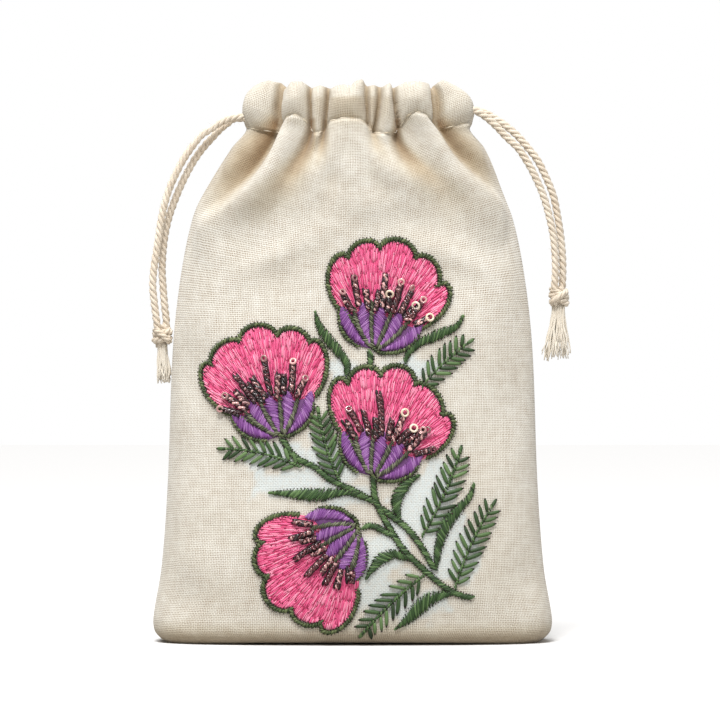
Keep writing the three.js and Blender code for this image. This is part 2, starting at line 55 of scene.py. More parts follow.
# Camera: level and straight on
FRAME_WIDTH = 0.2338
LENS = 200
SENSOR = 36
CAMERA_X = 0.0024
CAMERA_Z = 0.0912
camera_data = bpy.data.cameras.new("camera")
camera_data.lens = LENS
camera_data.sensor_width = SENSOR
camera_data.clip_end = 20
camera = bpy.data.objects.new("camera", camera_data)
camera.location = (CAMERA_X, -FRAME_WIDTH * LENS / SENSOR, CAMERA_Z)
camera.rotation_euler = (np.pi / 2, 0, 0)
bpy.context.collection.objects.link(camera)
bpy.context.scene.camera = camera
bpy.context.scene.view_settings.view_transform = "Standard"


# Materials
class Shader:
    """A material's node tree with short ways to add nodes."""

    def __init__(self, name):
        self.material = bpy.data.materials.new(name)
        self.material.use_nodes = True
        self.tree = self.material.node_tree
        self.surface = self.tree.nodes["Principled BSDF"]

    def node(self, kind, **settings):
        made = self.tree.nodes.new("ShaderNode" + kind)
        for key, value in settings.items():
            setattr(made, key, value)
        return made

    def put(self, socket, value):
        if isinstance(value, bpy.types.NodeSocket):
            self.tree.links.new(value, socket)
        else:
            socket.default_value = value

    def math(self, operation, a, b=0.0, c=0.0):
        made = self.node("Math", operation=operation)
        for socket, value in zip(made.inputs, (a, b, c)):
            self.put(socket, value)
        return made.outputs[0]

    def noise(self, vector, scale, detail=2.0, roughness=0.5, distortion=0.0):
        made = self.node("TexNoise")
        self.put(made.inputs["Vector"], vector)
        made.inputs["Scale"].default_value = scale
        made.inputs["Detail"].default_value = detail
        made.inputs["Roughness"].default_value = roughness
        made.inputs["Distortion"].default_value = distortion
        return made.outputs["Fac"]

    def stretched(self, vector, scale):
        made = self.node("Mapping")
        self.put(made.inputs["Vector"], vector)
        made.inputs["Scale"].default_value = scale
        return made.outputs[0]

    def ramp(self, value, stops):
        made = self.node("ValToRGB")
        self.put(made.inputs[0], value)
        elements = made.color_ramp.elements
        while len(elements) < len(stops):
            elements.new(0.5)
        for element, (position, colour) in zip(elements, stops):
            element.position = position
            element.color = tinted(colour)
        return made.outputs[0]

    def mix(self, share, a, b, blend="MIX"):
        made = self.node("Mix", data_type="RGBA", blend_type=blend)
        self.put(made.inputs[0], share)
        self.put(made.inputs[6], a)
        self.put(made.inputs[7], b)
        return made.outputs[2]

    def spread(self, value, low, high, to_low=0.0, to_high=1.0):
        made = self.node("MapRange")
        for socket, given in zip(made.inputs, (value, low, high, to_low, to_high)):
            self.put(socket, given)
        return made.outputs[0]

    def settle(self, roughness, specular=None, **others):
        """Plain values of the surface; others by socket name with _ for a space."""
        values = {"Roughness": roughness, "Specular IOR Level": specular}
        values.update({key.replace("_", " "): value for key, value in others.items()})
        for name, value in values.items():
            if value is not None:
                self.surface.inputs[name].default_value = value

    def bump(self, height, strength, distance):
        made = self.node("Bump")
        made.inputs["Strength"].default_value = strength
        made.inputs["Distance"].default_value = distance
        self.put(made.inputs["Height"], height)
        self.put(self.surface.inputs["Normal"], made.outputs[0])


def tinted(colour):
    """Screen colour as an opaque linear one."""
    return (*linear(colour), 1)


def linear(colour):
    """Screen colour from 0-255 to linear light."""
    share = np.array(colour, float) / 255
    return tuple(np.where(share <= 0.04045, share / 12.92, ((share + 0.055) / 1.055) ** 2.4))


THREAD_PITCH = 0.57
THREAD_GRAIN = 7000
# Painted warm shade, from none to the deepest crease, multiplied into the cloth's colour
CREASE_SHADE_TONES = [
    (0.0, (255, 255, 255)), (0.25, (238, 234, 226)), (0.55, (216, 203, 184)), (1.0, (170, 140, 106)),
]


def cloth_material():
    """Plain weave with thick and thin threads, in millimetres of the cloth's own directions."""
    s = Shader("cotton_linen_cloth")
    uv = s.node("UVMap", uv_map="Threads").outputs[0]
    split = s.node("SeparateXYZ")
    s.put(split.inputs[0], uv)
    wobble = s.noise(uv, 0.35, 2)
    across = s.math("MULTIPLY_ADD", wobble, 0.6, split.outputs[0])
    up = s.math("MULTIPLY_ADD", wobble, 0.4, split.outputs[1])
    turn = np.pi / THREAD_PITCH
    warp = s.math("SINE", s.math("MULTIPLY", across, turn))
    weft = s.math("SINE", s.math("MULTIPLY", up, turn))
    over = s.math("MULTIPLY", warp, weft)
    warp_gap = s.math("SUBTRACT", 1.0, s.math("ABSOLUTE", warp))
    weft_gap = s.math("SUBTRACT", 1.0, s.math("ABSOLUTE", weft))
    hole = s.math("MULTIPLY", warp_gap, weft_gap)
    seam = s.math("MULTIPLY", s.math("MAXIMUM", warp_gap, weft_gap), 0.2)
    hole = s.math("ADD", hole, seam)
    slub_up = s.noise(s.stretched(uv, (1.9, 0.11, 1)), 1.0, 3, 0.6)
    slub_across = s.noise(s.stretched(uv, (0.11, 1.9, 1)), 1.0, 3, 0.6)
    slubs = s.math("ADD", slub_up, slub_across)
    loose = s.noise(uv, 0.28, 3, 0.55)
    mottle = s.noise(uv, 0.06, 3, 0.6)
    tone = s.math("MULTIPLY_ADD", slubs, 0.4, s.math("MULTIPLY", mottle, 0.34))
    cream = s.ramp(tone, [(0.36, (212, 206, 194)), (0.57, (229, 226, 216)), (0.78, (243, 242, 236))])
    pin = s.math("MULTIPLY", s.spread(hole, 0.08, 0.62), s.spread(loose, 0.35, 0.68, 0.5, 1.0))
    cream = s.mix(pin, cream, tinted((136, 104, 66)))
    flecks = s.node("TexVoronoi", feature="F1")
    s.put(flecks.inputs["Vector"], uv)
    flecks.inputs["Scale"].default_value = 0.085
    fleck = s.spread(flecks.outputs["Distance"], 0.012, 0.03, 0.55, 0.0)
    cream = s.mix(fleck, cream, tinted((140, 112, 80)))
    pale = s.node("Attribute", attribute_name="pale").outputs["Fac"]
    film = s.math("MULTIPLY", pale, s.spread(s.noise(uv, 0.9, 4, 0.7), 0.28, 0.56, 0.4, 1.0))
    cream = s.mix(s.math("MULTIPLY", film, 0.88), cream, tinted((217, 226, 227)))
    # Painted shade: the deep mark carries warm shade in the creases, beside the folds and at the foot,
    # and a little darkening of the casing
    deep = s.node("Attribute", attribute_name="deep").outputs["Fac"]
    painted_crease_shade = s.ramp(deep, CREASE_SHADE_TONES)
    cream = s.mix(1.0, cream, painted_crease_shade, "MULTIPLY")
    s.put(s.surface.inputs["Base Color"], cream)
    s.settle(0.92, 0.2, Sheen_Weight=0.25, Sheen_Roughness=0.5)
    height = s.math("MULTIPLY_ADD", over, 0.25, s.math("MULTIPLY", hole, -0.8))
    height = s.math("MULTIPLY_ADD", slubs, 0.7, height)
    s.bump(height, 0.7, 0.0002)
    return s.material


def thread_material(name, dark, middle, light, roughness=0.5, each_share=0.62):
    """Thread whose tone changes from stitch to stitch and along its fibres."""
    s = Shader(name)
    each = s.node("NewGeometry").outputs["Random Per Island"]
    place = s.node("NewGeometry").outputs["Position"]
    fibre = s.noise(place, THREAD_GRAIN, 2, 0.6)
    tone = s.math("MULTIPLY_ADD", fibre, 1.07 - each_share, s.math("MULTIPLY", each, each_share))
    colour = s.ramp(tone, [(0.12, dark), (0.5, middle), (0.9, light)])
    s.put(s.surface.inputs["Base Color"], colour)
    s.settle(roughness, 0.4)
    s.bump(fibre, 0.5, 0.00005)
    return s.material


def bead_material(name, dark, light, roughness):
    s = Shader(name)
    each = s.node("NewGeometry").outputs["Random Per Island"]
    place = s.node("NewGeometry").outputs["Position"]
    tone = s.math("MULTIPLY_ADD", s.noise(place, 1500, 2), 0.4, s.math("MULTIPLY", each, 0.7))
    s.put(s.surface.inputs["Base Color"], s.ramp(tone, [(0.25, dark), (0.85, light)]))
    s.settle(roughness, Coat_Weight=0.8, Coat_Roughness=0.08)
    s.bump(s.noise(place, 900, 2), 0.15, 0.00005)
    return s.material


def cord_material(name, stops):
    s = Shader(name)
    place = s.node("NewGeometry").outputs["Position"]
    uv = s.node("UVMap", uv_map="Threads").outputs[0]
    fibre = s.noise(s.stretched(uv, (3.2, 0.5, 1)), 1.0, 3, 0.6)
    patch = s.noise(place, 160, 3)
    tone = s.math("MULTIPLY_ADD", fibre, 0.6, s.math("MULTIPLY", patch, 0.4))
    s.put(s.surface.inputs["Base Color"], s.ramp(tone, stops))
    s.settle(0.9, 0.2, Sheen_Weight=0.3)
    s.bump(fibre, 0.8, 0.00015)
    return s.material


def make_mesh(name, points, faces, material, replaces=(), uv=None, marks=None):
    """points in millimetres; faces an array of triangles, or a list of triangles and quads."""
    mesh = bpy.data.meshes.new(name)
    corners = faces.tolist() if isinstance(faces, np.ndarray) else faces
    mesh.from_pydata((np.asarray(points) * MM).tolist(), [], corners)
    mesh.shade_smooth()
    if uv is not None:
        layer = mesh.uv_layers.new(name="Threads")
        loops = np.empty(len(mesh.loops), int)
        mesh.loops.foreach_get("vertex_index", loops)
        layer.uv.foreach_set("vector", np.asarray(uv)[loops].astype(np.float32).ravel())
    for mark, values in (marks or {}).items():
        attribute = mesh.attributes.new(mark, "FLOAT", "POINT")
        attribute.data.foreach_set("value", np.asarray(values, np.float32))
    made = bpy.data.objects.new(name, mesh)
    bpy.context.collection.objects.link(made)
    mesh.materials.append(material)
    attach(made, "root")
    if replaces:
        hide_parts(*replaces)
    return made


def joined(parts):
    """Several (points, faces, uv) sets as one."""
    points, faces, uvs, start = [], [], [], 0
    for part in parts:
        points.append(part[0])
        faces.append(np.asarray(part[1]) + start)
        if len(part) > 2:
            uvs.append(part[2])
        start += len(part[0])
    return np.concatenate(points), np.concatenate(faces), np.concatenate(uvs) if uvs else None


def smooth_line(points, step):
    """Even points along a smooth curve through the given ones."""
    points = np.asarray(points, float)
    padded = np.vstack([2 * points[0] - points[1], points, 2 * points[-1] - points[-2]])
    fine = []
    for k in range(1, len(padded) - 2):
        p0, p1, p2, p3 = padded[k - 1 : k + 3]
        t = np.linspace(0, 1, 24, endpoint=False)[:, None]
        square = (2 * p0 - 5 * p1 + 4 * p2 - p3) * t**2
        cube = (3 * p1 - p0 - 3 * p2 + p3) * t**3
        fine.append(0.5 * (2 * p1 + (p2 - p0) * t + square + cube))
    fine = np.vstack([*fine, points[-1:]])
    run = np.concatenate([[0], np.cumsum(np.linalg.norm(np.diff(fine, axis=0), axis=1))])
    at = np.linspace(0, run[-1], max(3, int(round(run[-1] / step)) + 1))
    return np.stack([np.interp(at, run, fine[:, i]) for i in range(points.shape[1])], 1), run[-1]


def unit(v):
    return v / np.maximum(np.linalg.norm(v, axis=-1, keepdims=True), 1e-9)


def frames_along(path):
    """Tangent and two steady normals at each point of a line."""
    tangent = unit(np.gradient(path, axis=0))
    side = np.cross(tangent[0], [0, 1, 0] if abs(tangent[0][1]) < 0.9 else [1, 0, 0])
    sides = []
    for t in tangent:
        side = side - t * np.dot(side, t)
        side = side / np.linalg.norm(side)
        sides.append(side)
    sides = np.array(sides)
    return tangent, sides, np.cross(tangent, sides)


def faces_round(stations, sides):
    """Corner rows of the faces between the rings of a tube."""
    a = (np.arange(stations - 1)[:, None] * sides + np.arange(sides)).ravel()
    b = (np.arange(stations - 1)[:, None] * sides + (np.arange(sides) + 1) % sides).ravel()
    return a, b, b + sides, a + sides


def tube(path, radius, sides, along_uv=0.0):
    """Closed tube round a line; radius is a number or one per point."""
    _, side, up = frames_along(path)
    radius = np.broadcast_to(radius, len(path))
    turn = 2 * np.pi * np.arange(sides) / sides
    circle = side[:, None] * np.cos(turn)[:, None] + up[:, None] * np.sin(turn)[:, None]
    rings = path[:, None] + radius[:, None, None] * circle
    count = len(path)
    points = np.concatenate([rings.reshape(-1, 3), path[:1], path[-1:]])
    a, b, c, d = faces_round(count, sides)
    faces = np.concatenate([np.stack([a, b, c], 1), np.stack([a, c, d], 1)])
    first = np.arange(sides)
    after = (first + 1) % sides
    low = np.stack([np.full(sides, len(points) - 2), after, first], 1)
    last = (count - 1) * sides
    high = np.stack([np.full(sides, len(points) - 1), first + last, after + last], 1)
    run = np.concatenate([[0], np.cumsum(np.linalg.norm(np.diff(path, axis=0), axis=1))])
    across = 2 * np.pi * float(np.median(radius)) * np.arange(sides) / sides
    uv = np.stack([np.tile(across, count), np.repeat(run + along_uv, sides)], 1)
    uv = np.concatenate([uv, [[0, along_uv], [0, along_uv + run[-1]]]])
    return points, np.concatenate([faces, low, high]), uv


# Drawcords: the solids' routes, in millimetres, from the exit down into the knot
ROUTES = {
    "drawcord_left_front": [
        (-34.4, -3.7, 169.8), (-38.4, -2.6, 169.8), (-42.4, -2.2, 168.4), (-46, -1.9, 166.1),
        (-49.2, -1.7, 164), (-52.3, -1.6, 160.1), (-54.9, -1.6, 156.2), (-57.6, -1.6, 151),
        (-60.2, -1.6, 144.5), (-62, -1.6, 137), (-63.2, -1.6, 129), (-64.4, -1.6, 121),
        (-64.8, -1.6, 115), (-64.2, -1.7, 109), (-63.4, -2, 102.8), (-62.6, -1.4, 99.2),
    ],
    "drawcord_left_rear": [
        (-34.4, 3.7, 169.8), (-38.4, 2.6, 169.8), (-41, 2.2, 168), (-43.4, 1.9, 166),
        (-45.6, 1.7, 163.6), (-48.7, 1.6, 160.1), (-51.5, 1.6, 156.2), (-54.4, 1.6, 151),
        (-57.3, 1.6, 144.5), (-60, 1.6, 136.7), (-61.4, 1.6, 129), (-61.9, 1.6, 121), (-61.6, 1.4, 115),
        (-61.1, 1.1, 109), (-60.5, 0.9, 102.8), (-61.4, 0.4, 99.2),
    ],
    "drawcord_right_front": [
        (34.4, -3.7, 172.6), (38.6, -2.6, 172.4), (42.6, -2.2, 170.4), (46.4, -1.9, 167.2),
        (49.8, -1.7, 163.6), (53.6, -1.6, 160), (56.2, -1.6, 156.2), (58.8, -1.6, 151.6),
        (61.9, -1.6, 144.5), (64, -1.6, 137), (65.2, -1.6, 130.8), (65.7, -1.6, 125), (65.8, -1.6, 120),
        (65.6, -1.6, 115.3), (66.3, -1, 111.8),
    ],
    "drawcord_right_rear": [
        (34.4, 3.7, 172.8), (38.6, 2.6, 172.7), (43.4, 2.2, 171.4), (48.6, 1.9, 168.3),
        (53.4, 1.7, 164.3), (57.1, 1.6, 160.1), (60.1, 1.6, 156.2), (63, 1.6, 150.4),
        (65.3, 1.6, 144.5), (66.8, 1.6, 137), (67.7, 1.6, 130.8), (68.2, 1.6, 125), (68.3, 1.6, 120),
        (68.1, 1.6, 115.3), (67.5, 1, 111.8),
    ],
}
CORD_DIAMETER = 2.5
PLY_PITCH = 6.6
PLY_OFFSET = 0.64
PLY_RADIUS = 0.63
PLY_SIDES = 9
HAIR_RADIUS = 0.028


def rope(path, diameter, pitch=PLY_PITCH, step=0.45, phase=0.0):
    """Three plies twisted round a line, with small uneven thickness."""
    line, _ = smooth_line(path, step)
    _, side, up = frames_along(line)
    run = np.arange(len(line)) * step
    scale = diameter / CORD_DIAMETER
    parts = []
    for ply in range(3):
        turn = phase - 2 * np.pi * (ply / 3 + run / pitch)
        aside = side * np.cos(turn)[:, None] + up * np.sin(turn)[:, None]
        centre = line + scale * PLY_OFFSET * aside
        uneven = 1 + 0.05 * np.sin(run * 0.9 + 2.1 * ply) + 0.03 * np.sin(run * 2.7 + ply)
        parts.append(tube(centre, PLY_RADIUS * scale * uneven, PLY_SIDES, 37.0 * ply))
    return parts


def hairs(path, reach, count, length):
    """Loose fibres that stand off a cord."""
    line, _ = smooth_line(path, 0.5)
    tangent, side, up = frames_along(line)
    parts = []
    for k in rng.integers(2, len(line) - 2, count):
        turn = rng.uniform(0, 2 * np.pi)
        out = side[k] * np.cos(turn) + up[k] * np.sin(turn)
        lean = tangent[k] * rng.uniform(-1.2, 1.2) + out * rng.uniform(0.2, 0.9)
        size = length * rng.uniform(0.4, 1.0)
        t = np.linspace(0, 1, 5)[:, None]
        bend = np.cross(out, tangent[k]) * rng.uniform(-0.5, 0.5)
        strand = line[k] + out * reach * 0.9 + unit(lean) * size * t + bend * size * t**2
        parts.append(tube(strand, HAIR_RADIUS * (1 - 0.6 * t[:, 0]), 3))
    return parts


TWISTED_TONES = [(0.3, (198, 180, 158)), (0.5, (224, 212, 195)), (0.72, (240, 232, 219))]
FRAYED_TONES = [(0.3, (220, 208, 190)), (0.5, (238, 230, 216)), (0.72, (248, 244, 235))]
twisted_cotton = cord_material("twisted_cotton", TWISTED_TONES)
frayed_cotton = cord_material("frayed_cotton", FRAYED_TONES)
for name, route in ROUTES.items():
    path = np.array(route)
    parts = rope(path, CORD_DIAMETER, phase=rng.uniform(0, 6)) + hairs(path, CORD_DIAMETER / 2, 70, 1.6)
    points, faces, uv = joined(parts)
    made = make_mesh(name, points, faces, twisted_cotton, uv=uv)
    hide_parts("drawcord_left" if "left" in name else "drawcord_right")
    line, length = smooth_line(path, 1.0)


def knot_and_tail(side_name, centre, turned, tilt, flip, tail_length, tail_top, tail_low, drift, fibres):
    """Overhand knot of the two cord ends, and the frayed ends below it."""
    centre = np.array(centre, float)
    t = np.linspace(0, 1, 60)
    turn = 2 * np.pi * 2.35 * t + turned
    spread = 2.05 + 0.35 * np.sin(np.pi * t)
    wrap = np.stack([spread * np.cos(turn), spread * 0.86 * np.sin(turn), 2.2 - 4.4 * t], 1)
    wrap[:, 2] += wrap[:, 0] * np.tan(tilt)
    parts = rope(centre + wrap, 2.35, pitch=5.5, step=0.4)
    core = np.array([[0.4, 0.2, 3.4], [0.5, 0.1, 1.2], [-0.1, 0, -1], [-0.3, 0, -3.4]])
    parts += rope(centre + core, 2.6, pitch=5, step=0.5)
    over = [[-2.3, -0.4, 2.1], [-1.4, -2.6, 1.5], [0.4, -3.1, 0.1], [1.8, -2.4, -1.2], [2.4, -0.3, -1.9]]
    over = np.array(over) * [flip, 1, 1]
    parts += rope(centre + over, 2.0, pitch=5.5, step=0.4)
    parts += hairs(centre + core, 2.6, 26, 1.3)
    points, faces, uv = joined(parts)
    name = f"knot_{side_name}"
    knot = make_mesh(name, points, faces, twisted_cotton, replaces=[name], uv=uv)
    top = centre + np.array([-0.1, 0, -2.6])
    parts = []
    for _ in range(fibres):
        angle = rng.uniform(0, 2 * np.pi)
        share = np.sqrt(rng.uniform(0, 1))
        way = np.array([np.cos(angle) * share, np.sin(angle) * share, 0])
        start = way * tail_top * [1, 0.7, 0] + [0, 0, rng.uniform(-0.3, 0.6)]
        end = way * tail_low * [1, 0.5, 0] + rng.normal(0, 0.28, 3) * [1, 0.7, 0]
        size = tail_length * rng.uniform(0.8, 1.0)
        s = np.linspace(0, 1, 12)[:, None]
        path = top + start * (1 - s) + end * s ** 1.3 + np.array([drift, 0, 0]) * s**1.5
        path[:, 2] = top[2] + start[2] - size * s[:, 0]
        wave = 0.55 * np.sin(s[:, 0] * rng.uniform(4, 9) + rng.uniform(0, 6))
        path[:, 0] += wave * s[:, 0]
        path[:, 1] += 0.8 * wave[::-1] * s[:, 0]
        parts.append(tube(path, rng.uniform(0.24, 0.42) * (1 - 0.5 * s[:, 0]), 5, rng.uniform(0, 50)))
    points, faces, uv = joined(parts)
    name = f"tassel_{side_name}"
    tassel = make_mesh(name, points, faces, frayed_cotton, replaces=[name], uv=uv)
    return knot, tassel


left_end = knot_and_tail(
    "left", (-61.8, -0.4, 99), turned=0.4, tilt=0.35, flip=1,
    tail_length=13, tail_top=1.6, tail_low=2.4, drift=0.8, fibres=64,
)
right_end = knot_and_tail(
    "right", (67.0, 0, 111.4), turned=2.2, tilt=-0.35, flip=-1,
    tail_length=17.8, tail_top=2.0, tail_low=4.6, drift=-0.6, fibres=84,
)

# Cloth shape, in millimetres: half width, half depth and squareness at each height
HALF_WIDTH = [
    (0, 60.4), (1.2, 62.2), (3.6, 64.2), (8, 64.6), (24, 62), (51, 60), (94, 58.4), (117, 56),
    (137, 52), (148, 47.3), (160, 41), (165.6, 36.4), (168.5, 36.8), (172, 37.4), (177, 36.2),
    (182, 33.8),
]
NECK_SKEW = 0.05
HALF_DEPTH = [
    (0, 19.6), (1.2, 21.8), (4, 23.4), (30, 25), (60, 24), (100, 21.6), (130, 19.6), (150, 18),
    (165, 15.5), (182, 15.5),
]
SQUARENESS = [(0, 3.0), (40, 2.5), (120, 2.2), (182, 2.2)]
CLOTH_THICK = 0.9
ARCH_RISE = 0.8
ARCH_HALF_WIDTH = 54
ARCH_REACH = 16
CASING_INSET = 5.2
RIM_START = 175.0
FRONT_COLUMNS = 320
REAR_COLUMNS = 130


def curve(table, at):
    """Smooth curve through the table's points."""
    xs, ys = np.array(table, float).T
    slope = np.empty_like(ys)
    slope[1:-1] = (ys[2:] - ys[:-2]) / (xs[2:] - xs[:-2])
    slope[0] = (ys[1] - ys[0]) / (xs[1] - xs[0])
    slope[-1] = (ys[-1] - ys[-2]) / (xs[-1] - xs[-2])
    at = np.clip(np.asarray(at, float), xs[0], xs[-1])
    k = np.clip(np.searchsorted(xs, at, side="right") - 1, 0, len(xs) - 2)
    span = xs[k + 1] - xs[k]
    t = (at - xs[k]) / span
    rise = ys[k + 1] - ys[k]
    start, end = slope[k] * span, slope[k + 1] * span
    return ys[k] + start * t + (3 * rise - 2 * start - end) * t**2 + (start + end - 2 * rise) * t**3


def step_between(value, low, high):
    t = np.clip((value - low) / (high - low), 0, 1)
    return t * t * (3 - 2 * t)


# Casing: valleys as (place on the stitch line, lean towards the top, bow), and between them
# the lumps as (height, softness of the left flank, softness of the right flank)
VALLEYS = {
    "front": [
        (-38.5, 0, 0), (-23.4, 0.9, -1.3), (-22.2, 1.2, -1.4), (-13.5, -0.9, 0.4), (-8.7, 1.6, -0.2),
        (5.0, -1.4, 0.2), (6.9, 2.6, 0.2), (14.9, -1.9, -0.2), (25.9, -1.5, 0.9), (28.2, -0.4, 0.1),
        (41, 0, 0),
    ],
    "rear": [
        (-39, 0, 0), (-26.5, 1.1, 0.7), (-17, 1.6, -0.4), (-12.2, 0.8, 0.3), (0.8, -0.9, -0.7),
        (6.1, 0.6, 0.4), (17.8, -1.0, 0.6), (21.4, -0.6, -0.3), (39, 0, 0),
    ],
}
LUMPS = {
    "front": [
        (4.6, 0, 0.8), (0, 1, 1), (4.4, 0, 0.6), (2.4, 0.2, 1), (4.8, 0, 0.15), (1.5, 0.8, 1),
        (3.1, 0.8, 0.6), (4.6, 0, 0.15), (0, 1, 1), (4.6, 0.7, 0),
    ],
    "rear": [
        (4.6, 0, 0.6), (4.0, 0.1, 0.4), (2.2, 0.7, 0.5), (4.4, 0.1, 0.5), (2.4, 0.8, 0.6),
        (4.4, 0.1, 0.3), (1.8, 0.9, 0.8), (4.6, 0.5, 0),
    ],
}
STITCH_LINE = [
    (-39, 168.2), (-34, 166.6), (-29, 165.2), (-23.4, 164.2), (-22.4, 166.6), (-20.8, 169),
    (-18.6, 169.9), (-16.4, 169.3), (-14.6, 167.4), (-13.4, 164.8), (-11, 163.8), (-9, 164.8),
    (-7, 167.8), (-3, 168.7), (2, 168.4), (4.6, 166.8), (6.4, 164.2), (10, 163.8), (14.2, 164.2),
    (15.6, 166.8), (17.2, 169.4), (20, 170.8), (22.8, 170), (25, 167.6), (26.6, 165.4), (28, 165),
    (31, 166.2), (35, 167.6), (38, 168.6), (41, 169),
]
RIM_TOP = [
    (-38, 176.6), (-36.5, 177.8), (-34.5, 179.4), (-32, 180.7), (-28, 181.3), (-24.5, 180.6),
    (-21.6, 178.3), (-19.5, 180.6), (-16.2, 180.7), (-13.6, 178.6), (-10.6, 179.5), (-7, 178.4),
    (-5, 179.3), (-2.6, 179.6), (-0.8, 179), (1, 180.8), (3.2, 181.4), (4.8, 179.2), (7, 179.6),
    (9.6, 178.9), (12, 180.3), (13.6, 178.7), (17, 180.5), (21, 180.8), (25, 180.2), (27.4, 178.6),
    (29.5, 180.6), (32, 181.6), (34.6, 180.6), (36.8, 178.8), (39, 177),
]

# Tucks: points (x, z), and at each point the left width, right width and height
TUCKS = [
    [
        (-18.4, 171, 2.2, 3.4, 4.6), (-20.2, 166.8, 1.9, 4.4, 5.0), (-22.2, 162.7, 1.7, 5.4, 5.4),
        (-25.4, 156.2, 1.8, 6.4, 5.4), (-29.6, 149.7, 2.1, 7.8, 5.2), (-36, 142.5, 3.0, 9, 4.5),
        (-44.6, 135.4, 4.6, 11, 3.2), (-53, 129.6, 8, 12, 0.8), (-57, 126, 9, 12, 0),
    ],
    [
        (-3.4, 170, 3.6, 5, 4.0), (-5.0, 163, 3.4, 6, 4.2), (-8.2, 156.6, 4.4, 6, 3.6),
        (-14, 149.5, 6.4, 8, 2.6), (-22, 139, 9, 10, 1.0), (-28, 132, 9, 10, 0),
    ],
    [
        (-1.2, 172, 7.4, 6.6, 3.8), (-1.0, 164, 7.2, 6.4, 4.2), (-0.4, 156, 8, 7.2, 4.0),
        (1, 148, 10, 9, 3.0), (3, 138, 13, 12, 1.8), (4, 126, 16, 16, 0.7), (4, 114, 18, 18, 0),
    ],
    [
        (1.2, 170, 5, 3.6, 4.0), (3.0, 163, 6, 3.6, 4.2), (7.4, 156.6, 6, 4.4, 3.6),
        (16.8, 149.5, 8, 6.2, 2.8), (27.5, 143.0, 9, 8, 1.5), (38, 135, 10, 10, 0),
    ],
    [
        (20.9, 172, 4.4, 2.4, 4.6), (23.2, 167.4, 4.8, 2.0, 5.0), (26.6, 162.7, 5.4, 1.8, 5.2),
        (30.8, 156.2, 6, 1.9, 5.0), (36.4, 149.7, 7.2, 2.4, 4.9), (43.4, 143, 9, 3.6, 3.8),
        (50, 137, 9, 6.4, 1.9), (54, 133, 9, 9, 0),
    ],
    [(-11.2, 165, 1.2, 1.2, 2.6), (-12.2, 160, 1.8, 1.8, 1.8), (-15.4, 152, 4, 4, 0)],
    [(9.2, 164, 2.4, 2.4, 2.2), (10.4, 159, 3, 3, 1.2), (14, 152, 4, 4, 0)],
    [(-33, 168, 5, 4, 4.2), (-38.2, 157, 5.4, 4.6, 3.0), (-45, 147.6, 6, 5, 1.6), (-51, 140, 7, 6, 0)],
    [(35, 168, 4, 5, 4.2), (41.6, 157.6, 4.6, 5.4, 3.0), (47.4, 149, 5, 6, 1.5), (52, 141, 6, 7, 0)],
]
# Narrow deep grooves between the folds: (x, z, half width, depth)
GROOVES = [
    [(-13.4, 170, 0.9, 2.2), (-13.8, 163.6, 1.2, 2.6), (-17, 156, 2.2, 1.6), (-22, 148, 3.4, 0)],
    [(-9.0, 170, 0.9, 2.0), (-9.3, 163, 1.1, 2.4), (-10.4, 157.4, 1.8, 1.2), (-13, 151, 2.6, 0)],
    [(5.9, 168, 0.8, 1.4), (6.2, 163, 1.2, 1.5), (8, 158, 2, 0)],
    [(13.6, 170, 1.0, 2.4), (14.2, 163, 1.4, 3.0), (16.8, 156.6, 2.2, 1.8), (21, 150.6, 3.4, 0)],
    [
        (-23.6, 168, 1.1, 2.0), (-25.2, 164, 1.5, 2.6), (-28.2, 158.2, 2.0, 2.8),
        (-32.6, 152.4, 2.8, 2.3), (-39, 146.4, 3.6, 1.1), (-46, 141, 4, 0),
    ],
    [
        (27.4, 168, 1.1, 2.0), (29.6, 164.4, 1.5, 2.4), (33.5, 158.6, 1.9, 2.4),
        (39.2, 152.9, 2.6, 1.6), (45, 148, 3.4, 0.4), (49, 145, 4, 0),
    ],
]
# Broad soft undulations of the lower cloth: (x, z, half width, half height, turn in degrees, rise)
DENTS = [
    (-56, 14, 9, 7, 35, -1.1), (56, 20, 9, 9, -30, -1.0), (-49, 26, 7, 9, 20, 0.6),
    (47, 34, 8, 10, -15, 0.5), (-44, 108, 9, 20, 25, 0.7), (-52, 84, 7, 22, 8, -0.5),
    (45, 104, 9, 22, -22, 0.8), (52, 80, 7, 20, -6, -0.5), (-30, 122, 8, 16, 38, -0.8),
    (14, 134, 16, 6, 0, -0.5), (34, 122, 8, 16, -30, -0.7), (0, 6, 40, 3, 0, 0.35),
    (-20, 8, 14, 3, 4, -0.3), (26, 7, 12, 3, -4, -0.3), (-35, 135, 12, 5, 32, -1.2),
    (-25, 124.5, 15, 4.2, 24, 1.1), (29, 137, 8, 8, -24, -1.0), (34, 124, 13, 4.2, -26, 1.0),
    (-48, 50, 7, 16, 6, 0.45), (50, 56, 6, 18, -4, 0.4),
]


def waves(x, z, seed, size, count=14):
    """Smooth unevenness from a few crossing waves."""
    made = np.random.default_rng(seed)
    total = 0
    for _ in range(count):
        angle = made.uniform(0, np.pi)
        length = size * made.uniform(0.7, 1.6)
        along = (x * np.cos(angle) + z * np.sin(angle)) / length
        total = total + np.sin(2 * np.pi * along + made.uniform(0, 6.3))
    return total / np.sqrt(count)


def near_line(x, z, points):
    """Signed distance to a line of points and the index reached along it."""
    best = np.full(x.shape, 1e9)
    signed = np.zeros(x.shape)
    reached = np.zeros(x.shape)
    for k in range(len(points) - 1):
        a, b = np.array(points[k][:2]), np.array(points[k + 1][:2])
        run = b - a
        t = np.clip(((x - a[0]) * run[0] + (z - a[1]) * run[1]) / (run @ run), 0, 1)
        dx, dz = x - a[0] - t * run[0], z - a[1] - t * run[1]
        distance = np.hypot(dx, dz)
        closer = distance < best
        best = np.where(closer, distance, best)
        signed = np.where(closer, np.sign(run[0] * dz - run[1] * dx) * distance, signed)
        reached = np.where(closer, k + t, reached)
    return signed, reached


